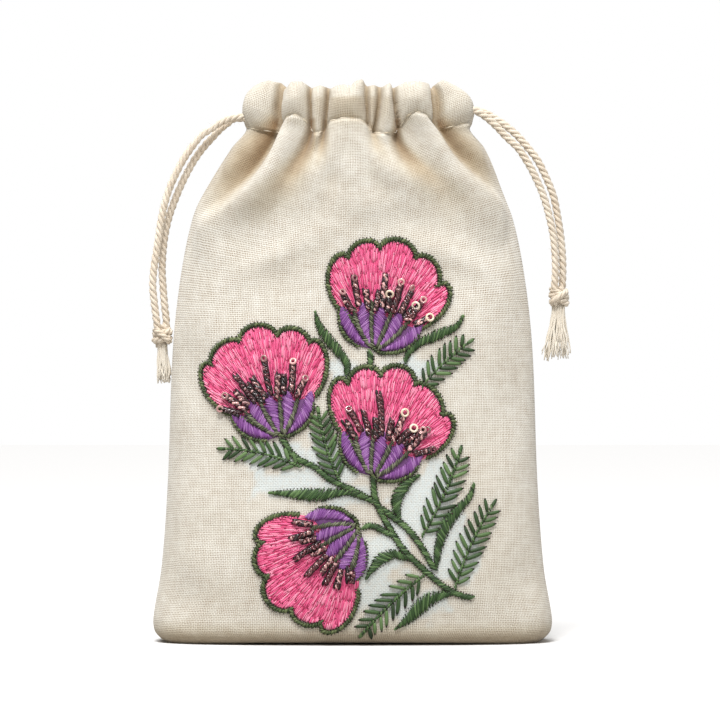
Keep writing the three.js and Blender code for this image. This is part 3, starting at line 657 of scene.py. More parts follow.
def tuck_rise(x, z):
    """Height of the tucks, joined softly, less the grooves between them."""
    rise = np.zeros(x.shape)
    if np.max(z) < 110:
        return rise
    for tuck in TUCKS:
        fine = smooth_line(tuck, 1.2)[0]
        signed, reached = near_line(x, z, fine)
        left, right, high = (np.interp(reached, np.arange(len(fine)), fine[:, i]) for i in (2, 3, 4))
        width = right + (left - right) * step_between(-signed, -0.6, 0.6)
        rise = rise + (np.maximum(high, 0) * np.exp(-np.abs(signed / width) ** 2.2)) ** 2.6
    rise = rise ** (1 / 2.6)
    for groove in GROOVES:
        fine = smooth_line(groove, 1.2)[0]
        signed, reached = near_line(x, z, fine)
        width, deep = (np.interp(reached, np.arange(len(fine)), fine[:, i]) for i in (2, 3))
        rise = rise - np.maximum(deep, 0) * np.exp(-((signed / width) ** 2))
    return rise


def casing_lumps(x, z, side, zs, top):
    """Lumps of the gathered casing between its valleys, from the stitch line up to the rim."""
    share_up = np.clip((z - 165) / 15, 0, 1.2)
    places = [x0 + lean * share_up + bow * np.sin(np.pi * share_up) for x0, lean, bow in VALLEYS[side]]
    rise = np.zeros(x.shape)
    for k, (high, soft_left, soft_right) in enumerate(LUMPS[side]):
        middle = (places[k] + places[k + 1]) / 2
        half = (places[k + 1] - places[k]) / 2
        aside = (x - middle) / np.maximum(half - 0.35, 0.2)
        t = np.clip(np.abs(aside), 0, 1)
        soft = np.where(aside < 0, soft_left, soft_right)
        rise = np.maximum(rise, high * (1 - t ** (2.2 - 0.5 * soft)) ** (0.5 + 0.7 * soft))
    puff = np.sin(np.pi * np.clip((z - zs) / (top - zs), 0, 1)) ** 0.7
    recess = 1.9 * (1 - np.clip(rise / 1.2, 0, 1))
    return rise * (0.62 + 0.38 * puff) - 0.6 + 0.5 * puff - recess


def rear_place(x):
    """The rear repeats the front's lines, mirrored and a little shifted."""
    return -x * 0.96 + 1.5


def fold(x, z, side, half_width):
    """How far the cloth stands out of its plain shape."""
    xs = x if side == "front" else rear_place(x)
    sideways = np.abs(x) / half_width
    taper = 1 - step_between(sideways, 0.9, 0.995)
    zs = np.interp(xs, *np.array(STITCH_LINE).T)
    top = np.interp(xs, *np.array(RIM_TOP).T)
    casing_share = step_between(z, zs - 0.7, zs + 0.5)
    wobble = 0.25 * waves(x, z, 5, 34) * step_between(z, 2, 14)
    wobble = wobble + 0.10 * waves(x, z, 8, 11) * step_between(z, 90, 150)
    dents = np.zeros(x.shape)
    for cx, cz, w, h, degrees, rise in DENTS:
        turn = np.radians(degrees)
        dx, dz = xs - cx, z - cz
        u = dx * np.cos(turn) + dz * np.sin(turn)
        v = -dx * np.sin(turn) + dz * np.cos(turn)
        dents = dents + rise * np.exp(-((u / w) ** 2) - (v / h) ** 2)
    below = tuck_rise(xs, z) + wobble + dents
    lumps = casing_lumps(x, z, side, zs, top) * (1 - 0.55 * step_between(sideways, 0.93, 1.0))
    crease = 0.6 * np.exp(-(((z - zs) / 0.6) ** 2)) * step_between(np.abs(below - lumps), -0.1, 1.2)
    height = below * (1 - casing_share) + lumps * casing_share - crease
    return height * taper + (1 - taper) * 0.3 * casing_share


def half_width_at(z, side):
    """Half width to the left or right; the gathered neck sits a little to the right."""
    return curve(HALF_WIDTH, z) * (1 + NECK_SKEW * np.sign(side) * step_between(z, 140, 166))


def cloth_point(angle, z, inset, share):
    """Point and outward normal of the cloth at angles round the bag."""
    c, s = np.cos(angle), np.sin(angle)
    a, b, n = half_width_at(z, c), curve(HALF_DEPTH, z), curve(SQUARENESS, z)
    x = a * np.sign(c) * np.abs(c) ** (2 / n)
    y = b * np.sign(s) * np.abs(s) ** (2 / n)
    nx = np.sign(c) * np.abs(c) ** (2 - 2 / n) / a
    ny = np.sign(s) * np.abs(s) ** (2 - 2 / n) / b
    size = np.hypot(nx, ny)
    nx, ny = nx / size, ny / size
    out = -np.asarray(inset, float)
    if np.any(share):
        rise = np.where(y < 0, fold(x, z, "front", a), fold(x, z, "rear", a))
        out = out + share * rise
    arch = 1 - np.clip(np.abs(x) / ARCH_HALF_WIDTH, 0, 1) ** 2.6
    raised = ARCH_RISE * arch * (1 - np.clip(z / ARCH_REACH, 0, 1)) ** 2
    return np.stack([x + nx * out, y + ny * out, z + raised], -1), np.stack([nx, ny, 0 * nx], -1)


def front_point(x, z, lift):
    """Places over the front of the bag, lifted off the cloth."""
    x, z = np.asarray(x, float), np.asarray(z, float)
    share = np.clip(np.abs(x) / half_width_at(z, x), 0, 1)
    c = np.sign(x) * share ** (curve(SQUARENESS, z) / 2)
    angle = np.arctan2(-np.sqrt(1 - c * c), c)
    return cloth_point(angle, z, -np.asarray(lift, float), 1.0)


# Bag body
front_angles = np.pi + np.pi * (np.arange(FRONT_COLUMNS) + 0.5) / FRONT_COLUMNS
rear_angles = np.pi * (np.arange(REAR_COLUMNS) + 0.5) / REAR_COLUMNS
angles = np.concatenate([front_angles, rear_angles])
foot_rows = [0, 0.3, 0.8, 1.5, 2.4, 3.4]
side_rows = [
    *np.linspace(4.6, 118, 66), *np.linspace(119.2, 160, 46)[:-1], *np.linspace(160, RIM_START, 44),
]
outer_rows = np.array([*foot_rows, *side_rows])
rim_turns = np.linspace(0, np.pi, 15)[1:-1]
inner_rows = [174, 170, 166, 163.5, *np.arange(162.4, 112, -1.6), 100, 80, 60, 30, 10, 4, 1.6]


def rim_top(x, angle):
    """Height of the rim at places round the bag."""
    front = np.interp(x, *np.array(RIM_TOP).T)
    rear = np.interp(rear_place(x), *np.array(RIM_TOP).T)
    return np.where(np.sin(angle) < 0, front, rear)


def ring_at(z, inset=0, share=1.0):
    return cloth_point(angles, np.full(angles.shape, z), inset, share)


rings = [ring_at(z)[0] for z in outer_rows]
start_ring = ring_at(RIM_START)[0]
base_ring, base_normal = ring_at(RIM_START, share=0)
rise_ring = ((start_ring - base_ring) * base_normal).sum(1)
top_ring = rim_top(base_ring[:, 0], angles)
for turn in rim_turns:
    inset = CASING_INSET / 2 * (1 - np.cos(turn))
    high = np.sin(turn)
    share = 1 - 0.25 * high if turn < np.pi / 2 else 0.75 * high - 0.3 * (1 - high)
    ring = base_ring + base_normal * (rise_ring * share - inset)[:, None]
    narrow = 1 - 0.12 * high**2 * step_between(np.abs(base_ring[:, 0]), 24, 36)
    ring[:, 0] = ring[:, 0] * narrow
    ring[:, 2] = RIM_START + (top_ring - RIM_START) * high
    rings.append(ring)
for z in inner_rows:
    inset, share = (CASING_INSET, -0.3) if z > 163 else (CLOTH_THICK, 1.0)
    rings.append(ring_at(z, inset, share)[0])
grid = np.array(rings)
rows, columns = grid.shape[:2]
base_centres = [[0, 0, ARCH_RISE], [0, 0, ARCH_RISE + CLOTH_THICK]]
points = np.concatenate([grid.reshape(-1, 3), base_centres])
i, j = np.meshgrid(np.arange(columns), np.arange(rows - 1))
here = j * columns
right = (i + 1) % columns
quads = np.stack([here + i, here + right, here + columns + right, here + columns + i], -1).reshape(-1, 4)
last_row = (rows - 1) * columns
under_fan = [[rows * columns, (k + 1) % columns, k] for k in range(columns)]
inside_fan = [[rows * columns + 1, last_row + k, last_row + (k + 1) % columns] for k in range(columns)]

# Thread directions: upright threads draw together to the neck, cross threads bend round the folds
steps_across = np.linalg.norm(np.roll(grid, -1, 1) - grid, axis=2)
middle_column = int(np.argmin(np.abs(front_angles - 1.5 * np.pi)))
across = np.cumsum(np.concatenate([np.zeros((rows, 1)), steps_across[:, :-1]], 1), axis=1)
across = across - across[:, middle_column : middle_column + 1]
reach_across = steps_across.sum(1, keepdims=True)
kernel = np.ones(15) / 15
smooth_reach = np.convolve(np.pad(reach_across[:, 0], 7, mode="edge"), kernel, "valid")[:, None]
drawn = np.maximum(smooth_reach, 0.86 * smooth_reach.max())
across = across * drawn / reach_across
for _ in range(300):
    across[1:-1] = (across[2:] + 2 * across[1:-1] + across[:-2]) / 4
steps_up = np.linalg.norm(np.diff(grid, axis=0), axis=2)
upward = np.cumsum(np.concatenate([np.zeros((1, columns)), steps_up]), axis=0)
upward = np.broadcast_to(upward.mean(1, keepdims=True), upward.shape)
bend = 0.36 * (np.hypot(grid[:, :, 0], 8) - 8) * step_between(grid[:, :, 2], 92, 166)
thread_uv = np.stack([across, upward - bend], -1).reshape(-1, 2)
thread_uv = np.concatenate([thread_uv, [[0, 0], [0, 300]]])

# Pale thin film left between the leaves, and painted warm shade in the creases, beside the folds and at
# the foot
PALE_SPOTS = [
    (-9.8, 60.6, 7, 6), (-23.5, 61.1, 14, 4), (-19.6, 51.7, 14, 4.5), (-2.9, 48.3, 9, 4),
    (-3.9, 57.6, 7, 8), (21.6, 43.9, 9, 9), (29.5, 35.1, 8, 12), (13.8, 34.1, 5, 11), (6.9, 27.2, 8, 8),
    (5.9, 18.4, 9, 8), (17.7, 13.5, 13, 6), (26.5, 50.8, 6, 9), (-2.9, 86.1, 4, 8), (19.7, 89, 8, 3),
    (35.4, 29.2, 6, 10), (29.5, 25.2, 7, 5),
]
flat_points = points[:, 0], points[:, 2]
outside_count = len(outer_rows) * columns
pale = np.zeros(len(points))
ragged = 1 + 0.22 * waves(*flat_points, 21, 9) + 0.1 * waves(*flat_points, 22, 3)
for cx, cz, w, h in PALE_SPOTS:
    distance = np.hypot((flat_points[0] - cx) / w, (flat_points[1] - cz) / h)
    pale = np.maximum(pale, 1 - step_between(distance * ragged, 0.75, 1.05))
pale = np.where((points[:, 1] < 0) & (np.arange(len(points)) < outside_count), pale, 0)
# Painted shade in the valleys: darker where the cloth lies below its neighbours
valley_shade = np.zeros((rows, columns))
heights = grid[:, :, 1].mean(1, keepdims=True) - grid[:, :, 1]
for reach in (5, 12, 26):
    around = sum(np.roll(heights, k, 1) for k in range(-reach, reach + 1)) / (2 * reach + 1)
    valley_shade += np.clip((around - heights) / (0.35 + 0.075 * reach), 0, 1) / 3
valley_shade[:, FRONT_COLUMNS:] = 0
valley_shade *= step_between(grid[:, :, 2], 128, 150)
for _ in range(3):
    valley_shade = (valley_shade + np.roll(valley_shade, 1, 1) + np.roll(valley_shade, -1, 1)) / 3
    valley_shade[1:-1] = (valley_shade[2:] + valley_shade[1:-1] + valley_shade[:-2]) / 3
# Warm shade beside the folds: (x, z, half width to the right, to the left, strength)
SHADES = [
    [(-6, 174.5, 8, 8, 0.3), (5, 174.5, 8, 8, 0.3)],
    [
        (-24.4, 167, 1.0, 3.4, 0.94), (-26.2, 163, 1.3, 6.4, 0.92), (-29.0, 157.6, 1.6, 8.6, 0.86),
        (-33.4, 152, 2.2, 10, 0.74), (-39.8, 146.4, 3.0, 10, 0.5), (-46.4, 140.6, 4.4, 9, 0.2),
        (-50, 137, 6, 9, 0),
    ],
    [
        (-13.2, 168, 1.2, 1.2, 0.85), (-13.6, 162, 2.2, 1.6, 0.88), (-15.4, 158, 3.4, 2, 0.78),
        (-19, 153, 4.8, 2.8, 0.64), (-23.8, 147.5, 6.4, 4, 0.46), (-31, 140.5, 7, 5, 0.22),
        (-38, 135, 7, 5, 0),
    ],
    [
        (-8.8, 168, 1.1, 1.1, 0.75), (-9.2, 162, 1.6, 1.6, 0.7), (-10.5, 156.5, 2.4, 2.4, 0.36),
        (-13, 150, 3.4, 3.4, 0),
    ],
    [
        (14.3, 168, 1.2, 1.2, 0.85), (14.6, 162, 1.6, 2.4, 0.84), (17, 158, 2, 3.6, 0.76),
        (21.4, 153.4, 2.8, 5, 0.6), (28, 148, 4, 6.4, 0.42), (35, 142, 5, 7, 0.2), (42, 136, 6, 7, 0),
    ],
    [(6.5, 166, 1.2, 1.2, 0.6), (7.5, 161, 2.2, 2.2, 0.42), (10, 157, 3, 3, 0.22), (12, 152, 4, 4, 0)],
    [
        (27.8, 167, 3.0, 1.0, 0.86), (30, 163.6, 5.0, 1.4, 0.82), (34, 158.2, 7.4, 1.9, 0.7),
        (39.8, 152.6, 9, 2.6, 0.5), (46, 147.6, 9, 3.6, 0.24), (51, 143, 8, 6, 0),
    ],
]
flat_x, flat_z = grid[:, :, 0], grid[:, :, 2]
beside = np.zeros((rows, columns))
upper = np.flatnonzero((flat_z.max(1) > 134) & (np.arange(rows) < len(outer_rows)))
for shade in SHADES:
    fine = smooth_line(shade, 1.0)[0]
    signed, reached = near_line(flat_x[upper], flat_z[upper], fine)
    right_side, left, strong = (np.interp(reached, np.arange(len(fine)), fine[:, i]) for i in (2, 3, 4))
    wide = np.where(signed > 0, right_side, left)
    shaded = np.maximum(strong, 0) * np.exp(-((signed / wide) ** 2))
    beside[upper] = np.maximum(beside[upper], shaded)
beside[:, FRONT_COLUMNS:] = 0
# The casing a little darker all over
in_casing = 0.1 * step_between(flat_z, 165, 169)
# Painted shade along the foot, and the lower cloth a little darker towards the bottom
foot_shade = 0.5 * (1 - step_between(flat_z, 0, 9)) + 0.07 * (1 - step_between(flat_z, 10, 60))
deep = np.maximum(0.6 * valley_shade, beside) + in_casing + foot_shade
deep = np.concatenate([np.clip(deep, 0, 1).reshape(-1), [0, 0]])
cloth_faces = [*quads.tolist(), *under_fan, *inside_fan]
marks = {"pale": pale, "deep": deep}
make_mesh("pouch_cloth", points, cloth_faces, cloth_material(), ["bag_body"], thread_uv, marks)


# Embroidery threads: each path is a row of (x, z) places over the front of the bag
def threads(paths, width, lift, height=None, sides=5, sink=0.25, taper=0.45, spread=0.12):
    """Stitches as flattened tubes that dive into the cloth at both ends."""
    paths = np.asarray(paths, float)
    count, stations = paths.shape[:2]
    width = np.broadcast_to(width, count)
    height = 0.6 * width if height is None else np.broadcast_to(height, count)
    share = np.linspace(0, 1, stations)
    arch = 1 - np.abs(2 * share - 1) ** 3
    level = np.asarray(lift) + rng.uniform(0, spread, count)
    lifts = level[:, None] - sink * (1 - arch)[None]
    place, normal = front_point(paths[..., 0], paths[..., 1], lifts)
    tangent = unit(np.gradient(place, axis=1))
    across = unit(np.cross(tangent, normal))
    above = np.cross(across, tangent)
    size = taper + (1 - taper) * arch
    turn = 2 * np.pi * (np.arange(sides) + 0.25) / sides
    wide = (width[:, None] / 2 * size)[:, :, None, None]
    high = (height[:, None] / 2 * size)[:, :, None, None]
    ring = across[:, :, None] * (np.cos(turn)[None, None, :, None] * wide)
    ring = ring + above[:, :, None] * (np.sin(turn)[None, None, :, None] * high)
    vertices = (place[:, :, None] + ring).reshape(-1, 3)
    per = stations * sides
    quad = np.stack(faces_round(stations, sides), 1)
    quad = np.concatenate([quad[:, [0, 1, 2]], quad[:, [0, 2, 3]]])
    fan = np.array([[0, k + 1, k] for k in range(1, sides - 1)])
    top = (stations - 1) * sides
    far_fan = np.array([[top, top + k, top + k + 1] for k in range(1, sides - 1)])
    one = np.concatenate([quad, fan, far_fan])
    return vertices, (one[None] + (np.arange(count) * per)[:, None, None]).reshape(-1, 3)


def pad(outline_low, outline_high, rows, lift):
    """Thin raised pad between two edges, each a row of (x, z) places."""
    low, high = np.asarray(outline_low, float), np.asarray(outline_high, float)
    share = np.linspace(0, 1, rows)[:, None, None]
    flat = low[None] * (1 - share) + high[None] * share
    edge = np.full(flat.shape[:2], 1.0)
    edge[0] = edge[-1] = edge[:, 0] = edge[:, -1] = 0
    vertices, _ = front_point(flat[..., 0], flat[..., 1], lift - PAD_DROP * (1 - edge))
    count = low.shape[0]
    i, j = np.meshgrid(np.arange(count - 1), np.arange(rows - 1))
    a = (j * count + i).ravel()
    first_half = np.stack([a, a + 1, a + count + 1], 1)
    second_half = np.stack([a, a + count + 1, a + count], 1)
    return vertices.reshape(-1, 3), np.concatenate([first_half, second_half])


def merged(*parts):
    """Points and faces of several parts as one."""
    return joined(parts)[:2]


PAD_DROP = 0.6
SCATTER = 11
PINK = thread_material(
    "pink_satin_thread", (196, 52, 100), (236, 98, 148), (255, 190, 210), 0.42, each_share=0.42,
)
PINK_UNDER = thread_material("pink_underlay", (214, 72, 122), (230, 90, 140), (242, 114, 158), 0.7)
PURPLE = thread_material(
    "purple_satin_thread", (94, 46, 112), (132, 76, 148), (188, 142, 198), 0.46, each_share=0.46,
)
OLIVE = thread_material("olive_outline_thread", (34, 44, 24), (66, 80, 46), (112, 122, 82), 0.6)
VEIN = thread_material("grey_olive_vein_thread", (40, 42, 32), (78, 82, 60), (132, 134, 112), 0.6)
PURPLE_UNDER = thread_material("purple_underlay", (70, 40, 76), (92, 54, 100), (112, 70, 122), 0.7)
GREEN = thread_material("leaf_green_thread", (22, 38, 16), (54, 82, 41), (106, 134, 84), 0.5)
BAND = thread_material("dark_olive_band", (26, 34, 20), (40, 52, 30), (58, 72, 44), 0.8)
# Black thread for the bead strings, also painted shade for the needle-hole dots
BLACK_THREAD_AND_HOLE_SHADE = thread_material("dark_thread_and_painted_hole_shade", (12, 4, 6), (26, 8, 12), (52, 24, 28), 0.45)
# Painted shade of the needle holes at the stitch ends
HOLE_SHADE = thread_material("maroon_needle_hole_shade", (72, 8, 30), (104, 16, 48), (140, 34, 74), 0.8)
MAROON = bead_material("maroon_glass_bead", (22, 4, 8), (104, 34, 46), 0.08)
# Rose bronze for the end rings and some beads, also painted pinkish glints along the bead strings
ROSE_BEADS_AND_GLINTS = bead_material("rose_bronze_beads_and_painted_glints", (104, 46, 54), (228, 178, 174), 0.12)
CREAM = bead_material("cream_gold_ring", (232, 206, 178), (255, 246, 232), 0.2)

# Each blossom: foot of the cup, direction it opens in, the notches as (turn, reach) and each lobe's reach
BLOSSOMS = {
    "top": (
        (6.9, 94.7), 78, [
            (-54.4, 16.0), (-33.1, 27.6), (-12.2, 30.8), (8.8, 31.2), (27.8, 29.1), (53.0, 17.0),
        ],
        [28.6, 33.2, 35.3, 34.0, 29.1],
    ),
    "left": (
        (-22.8, 67.0), 106, [
            (-56.6, 16.6), (-33.2, 29.9), (-13.8, 30.9), (7.4, 31.8), (28.7, 30.7), (51.5, 16.9),
        ],
        [29.0, 33.9, 35.7, 34.4, 30.3],
    ),
    "middle": (
        (6.4, 54.2), 73.5, [
            (-54.7, 17.8), (-32.1, 28.2), (-8.0, 31.2), (12.0, 31.0), (31.7, 29.1), (52.4, 17.2),
        ],
        [29.0, 32.9, 35.6, 34.3, 30.3],
    ),
    "bottom": (
        (1.9, 38.0), 220, [
            (-51.6, 18.7), (-30.8, 29.5), (-11.4, 31.6), (10.7, 32.5), (28.9, 31.5), (50.0, 19.4),
        ],
        [30.6, 34.3, 36.9, 35.3, 32.9],
    ),
}
# Purple sepals: (turn, reach) of the foot and the tip, and the half width
SEPALS = [
    ((74, 3.8), (50, 16.9), 1.95), ((50, 2.4), (27, 15.2), 1.95), ((4, 1.6), (1, 14.3), 1.95),
    ((-46, 2.6), (-25, 14.7), 1.95), ((-75, 4.0), (-51, 17.1), 1.95),
]
SEPAL_BOWS = [1.3, 0.5, 0, -0.5, -1.3]
SEPAL_SHAPE = [(0, 0.32), (0.2, 0.6), (0.45, 0.86), (0.66, 1.02), (0.8, 0.94), (0.92, 0.6), (1, 0.15)]
CUP_EDGE = [
    (-92, 5.2), (-80, 9.6), (-66, 14), (-51, 16.9), (-38, 13.6), (-25, 14.4), (-12, 12.5), (1, 13.6),
    (14, 12.5), (28, 14.6), (39, 13.6), (50, 16.9), (66, 14), (80, 9.6), (92, 5.2),
]


def drawn_in(name, turn):
    """The lowest blossom's cup is narrower on one side."""
    if name != "bottom":
        return turn
    return np.interp(turn, [-92, 40, 50, 66, 80, 92], [-92, 40, 46, 57, 65, 72])


def polar(base, degrees, radius):
    angle = np.radians(degrees)
    x = base[0] + radius * np.cos(angle)
    z = base[1] + radius * np.sin(angle)
    return np.stack(np.broadcast_arrays(x, z), -1)


def petal_reach(petals, turn):
    """Round lobes that meet at the notches."""
    notches, peaks = petals
    turn = np.asarray(turn, float)
    at, reach = np.array(notches, float).T
    k = np.clip(np.searchsorted(at, turn) - 1, 0, len(peaks) - 1)
    share = np.clip(2 * (turn - at[k]) / (at[k + 1] - at[k]) - 1, -1, 1)
    plain = reach[k] + (reach[k + 1] - reach[k]) * (share + 1) / 2
    bulge = np.array(peaks)[k] - (reach[k] + reach[k + 1]) / 2
    return plain + bulge * (1 - share**2) ** 0.55


def even(line, step):
    """Even places along a row of (x, z) places."""
    line = np.asarray(line, float)
    run = np.concatenate([[0], np.cumsum(np.linalg.norm(np.diff(line, axis=0), axis=1))])
    at = np.linspace(0, run[-1], max(2, int(round(run[-1] / step)) + 1))
    return np.stack([np.interp(at, run, line[:, i]) for i in (0, 1)], 1)


def border(line, step, length, width, lean, lift):
    """Short slanted stitches laid across a line."""
    at = even(line, step)
    tangent = unit(np.gradient(at, axis=0))
    across = np.stack([-tangent[:, 1], tangent[:, 0]], 1)
    turn = np.radians(lean + rng.normal(0, SCATTER, len(at)))[:, None]
    way = across * np.cos(turn) + tangent * np.sin(turn)
    half = (length / 2 / np.cos(np.radians(lean)) * rng.uniform(0.78, 1.2, len(at)))[:, None]
    share = np.linspace(-1, 1, 4)[None, :, None]
    paths = at[:, None] + (way * half)[:, None] * share
    return threads(paths, width * rng.uniform(0.85, 1.15, len(at)), lift, spread=0.18)


def pink_stitches(base, axis, petals):
    """Long and short satin stitches that fan out to the scalloped edge."""
    paths = []
    low_turn, high_turn = petals[0][0][0], petals[0][-1][0]
    for start in np.arange(9.0, 39, 3.7):
        count = int(np.radians(high_turn - low_turn) * (start + 1.8) / 0.4)
        turns = np.linspace(low_turn, high_turn, count) + rng.normal(0, 0.16, count)
        low = start + rng.uniform(-1.3, 1.3, count)
        high = low + 4.0 + rng.uniform(0, 1.2, count)
        high = np.minimum(high, petal_reach(petals, turns) - 0.1)
        low = np.maximum(low, np.interp(turns, *np.array(CUP_EDGE).T) - 1.4)
        good = high - low > 0.9
        share = np.linspace(0, 1, 5)
        radius = low[good, None] + (high - low)[good, None] * share
        drift = rng.normal(0, 0.45, good.sum())[:, None] * share / np.maximum(radius / 20, 0.5)
        paths.append(polar(base, axis + turns[good, None] + drift, radius))
    paths = np.concatenate(paths)
    return paths[rng.permutation(len(paths))]


def blossom(name, base, axis, petals):
    low_turn, high_turn = petals[0][0][0], petals[0][-1][0]
    turns = np.linspace(low_turn, high_turn, 120)
    edge = petal_reach(petals, turns)
    way = axis + turns
    under = pad(polar(base, way, 5.0), polar(base, way, edge + 0.3), 12, 0.42)
    make_mesh(f"petal_underlay_{name}", *under, PINK_UNDER)
    paths = pink_stitches(base, axis, petals)
    stitches = threads(paths, rng.uniform(0.4, 0.54, len(paths)), 0.62, height=0.25, spread=0.11)
    make_mesh(f"petal_stitches_{name}", *stitches, PINK, replaces=[f"petals_{name}"])
    # Painted shade of the needle holes: small dark maroon dots at some stitch ends
    holes = paths[rng.random(len(paths)) < 0.34][:, 0]
    outward = 0.14 * unit(holes - np.array(base))
    dots = np.stack([holes, holes + outward, holes + 2 * outward], 1)
    holes = threads(dots, 0.38, 0.82, height=0.16, sink=0.0, spread=0.02)
    make_mesh(f"needle_hole_shade_{name}", *holes, HOLE_SHADE)

    # Olive border round the petals, then along the foot of the cup
    fine = np.linspace(low_turn, high_turn, 600)
    rim = polar(base, axis + fine, petal_reach(petals, fine) + 0.7)
    edge_stitches, edge_band = rope_border(rim, 0.72)
    foot_turn, foot_reach = np.array([p for p in CUP_EDGE if abs(p[0]) > 45]).T
    foot_turn, foot_reach = drawn_in(name, foot_turn), foot_reach * 0.94 + 0.3
    on_right = foot_turn < 0
    right_foot = polar(base, axis + foot_turn[on_right], foot_reach[on_right])
    left_foot = polar(base, axis + foot_turn[~on_right], foot_reach[~on_right])
    below = polar(base, axis + 180, np.array([-0.2]))
    foot_line = smooth_line(np.concatenate([right_foot[::-1], below, left_foot]), 0.5)[0]
    foot_stitches, foot_band = rope_border(foot_line, 0.6)
    stitches = merged(edge_stitches, foot_stitches)
    make_mesh(f"outline_stitches_{name}", *stitches, OLIVE, replaces=[f"outline_{name}"])
    make_mesh(f"outline_band_{name}", *merged(edge_band, foot_band), BAND)
    # Painted shade of the needle holes along both sides of the outline
    dots = merged(border_dots(rim, 1.05, 0.84), border_dots(foot_line, 1.1, 0.72))
    make_mesh(f"outline_hole_shade_{name}", *dots, BLACK_THREAD_AND_HOLE_SHADE)

    # Purple cup: five leaf-shaped sepals of slanted satin stitches with olive veins between them
    fine_turns = np.linspace(-92, 92, 60)
    cup_reach = np.interp(fine_turns, *np.array(CUP_EDGE).T)
    cup_turns = axis + drawn_in(name, fine_turns)
    cup_under = pad(polar(base, cup_turns, 0.5), polar(base, cup_turns, cup_reach * 0.95), 8, 0.66)
    make_mesh(f"cup_underlay_{name}", *cup_under, PURPLE_UNDER)
    sepal_parts, vein_parts = [], []
    for k, (foot_end, tip, half) in enumerate(SEPALS):
        start = polar(base, axis + drawn_in(name, foot_end[0]), foot_end[1])
        end = polar(base, axis + drawn_in(name, tip[0]), tip[1])
        line = bowed(start, end, SEPAL_BOWS[k])
        widths = half * np.interp(np.linspace(0, 1, 16), *np.array(SEPAL_SHAPE).T)
        sepal_parts.append(satin_strip(line, widths, -30 if k < 2 else 30, 0.33, 0.98, 0.42))
    for first, second in zip(SEPALS[:-1], SEPALS[1:]):
        (turn_a, reach_a), (turn_b, reach_b) = first[0], second[0]
        turn_low = drawn_in(name, (turn_a * reach_a + turn_b * reach_b) / (reach_a + reach_b))
        turn_high = drawn_in(name, (first[1][0] + second[1][0]) / 2)
        start, end = polar(base, axis + turn_low, 1.6), polar(base, axis + turn_high, 14.8)
        vein = bowed(start, end, 0.016 * (turn_low + turn_high) / 2)
        vein_parts.append(border(vein, 0.8, 1.5, 0.66, 48, 1.1))
    make_mesh(f"cup_veins_{name}", *merged(*vein_parts), VEIN)
    make_mesh(f"cup_stitches_{name}", *merged(*sepal_parts), PURPLE, replaces=[f"cup_{name}"])
    bead_strings(name, base, axis)


def border_dots(line, step, reach):
    """Painted shade of needle holes as dark dots along both sides of a band; reach is a number or a row
    of them.
    """
    at = even(line, step)
    reach = np.atleast_1d(np.asarray(reach, float))
    reach = np.interp(np.linspace(0, 1, len(at)), np.linspace(0, 1, len(reach)), reach)[:, None]
    tangent = unit(np.gradient(at, axis=0))
    across = np.stack([-tangent[:, 1], tangent[:, 0]], 1)
    parts = []
    for side in (-1, 1):
        start = at + across * (side * (reach + rng.normal(0, 0.06, (len(at), 1))))
        end = start + 0.3 * tangent
        dots = np.stack([start, (start + end) / 2, end], 1)
        parts.append(threads(dots, 0.6, 0.86, height=0.34, sink=0.1, spread=0.05))
    return merged(*parts)


def rope_border(line, half, step=0.95, width=0.86):
    """Chunky slanted stitches over a dark band, as (stitches, dark band)."""
    at = even(line, 0.5)
    tangent = unit(np.gradient(at, axis=0))
    across = np.stack([-tangent[:, 1], tangent[:, 0]], 1)
    ragged = half * (0.9 + 0.12 * rng.random((len(at), 1)))
    band = pad(at - across * ragged, at + across * ragged, 4, 0.55)
    return border(line, step, 2.1 * half, width, 38, 0.74), band


def ring_bead(place, normal, axis_way, outer, thick, sides=10, around=6):
    """Small torus with its hole along axis_way."""
    helper = unit(np.cross(axis_way, normal) + 1e-6)
    other = np.cross(axis_way, helper)
    u = 2 * np.pi * np.arange(sides) / sides
    v = 2 * np.pi * np.arange(around) / around
    circle = helper * np.cos(u)[:, None] + other * np.sin(u)[:, None]
    wide = (outer - thick + thick * np.cos(v))[None, :, None]
    rise = (thick * 1.15 * np.sin(v))[None, :, None]
    vertices = place + circle[:, None] * wide + axis_way * rise
    i, j = np.meshgrid(np.arange(sides), np.arange(around), indexing="ij")
    a = i * around + j
    b = i * around + (j + 1) % around
    c = ((i + 1) % sides) * around + (j + 1) % around
    d = ((i + 1) % sides) * around + j
    faces = np.concatenate([np.stack([a, d, c], -1), np.stack([a, c, b], -1)]).reshape(-1, 3)
    return vertices.reshape(-1, 3), faces


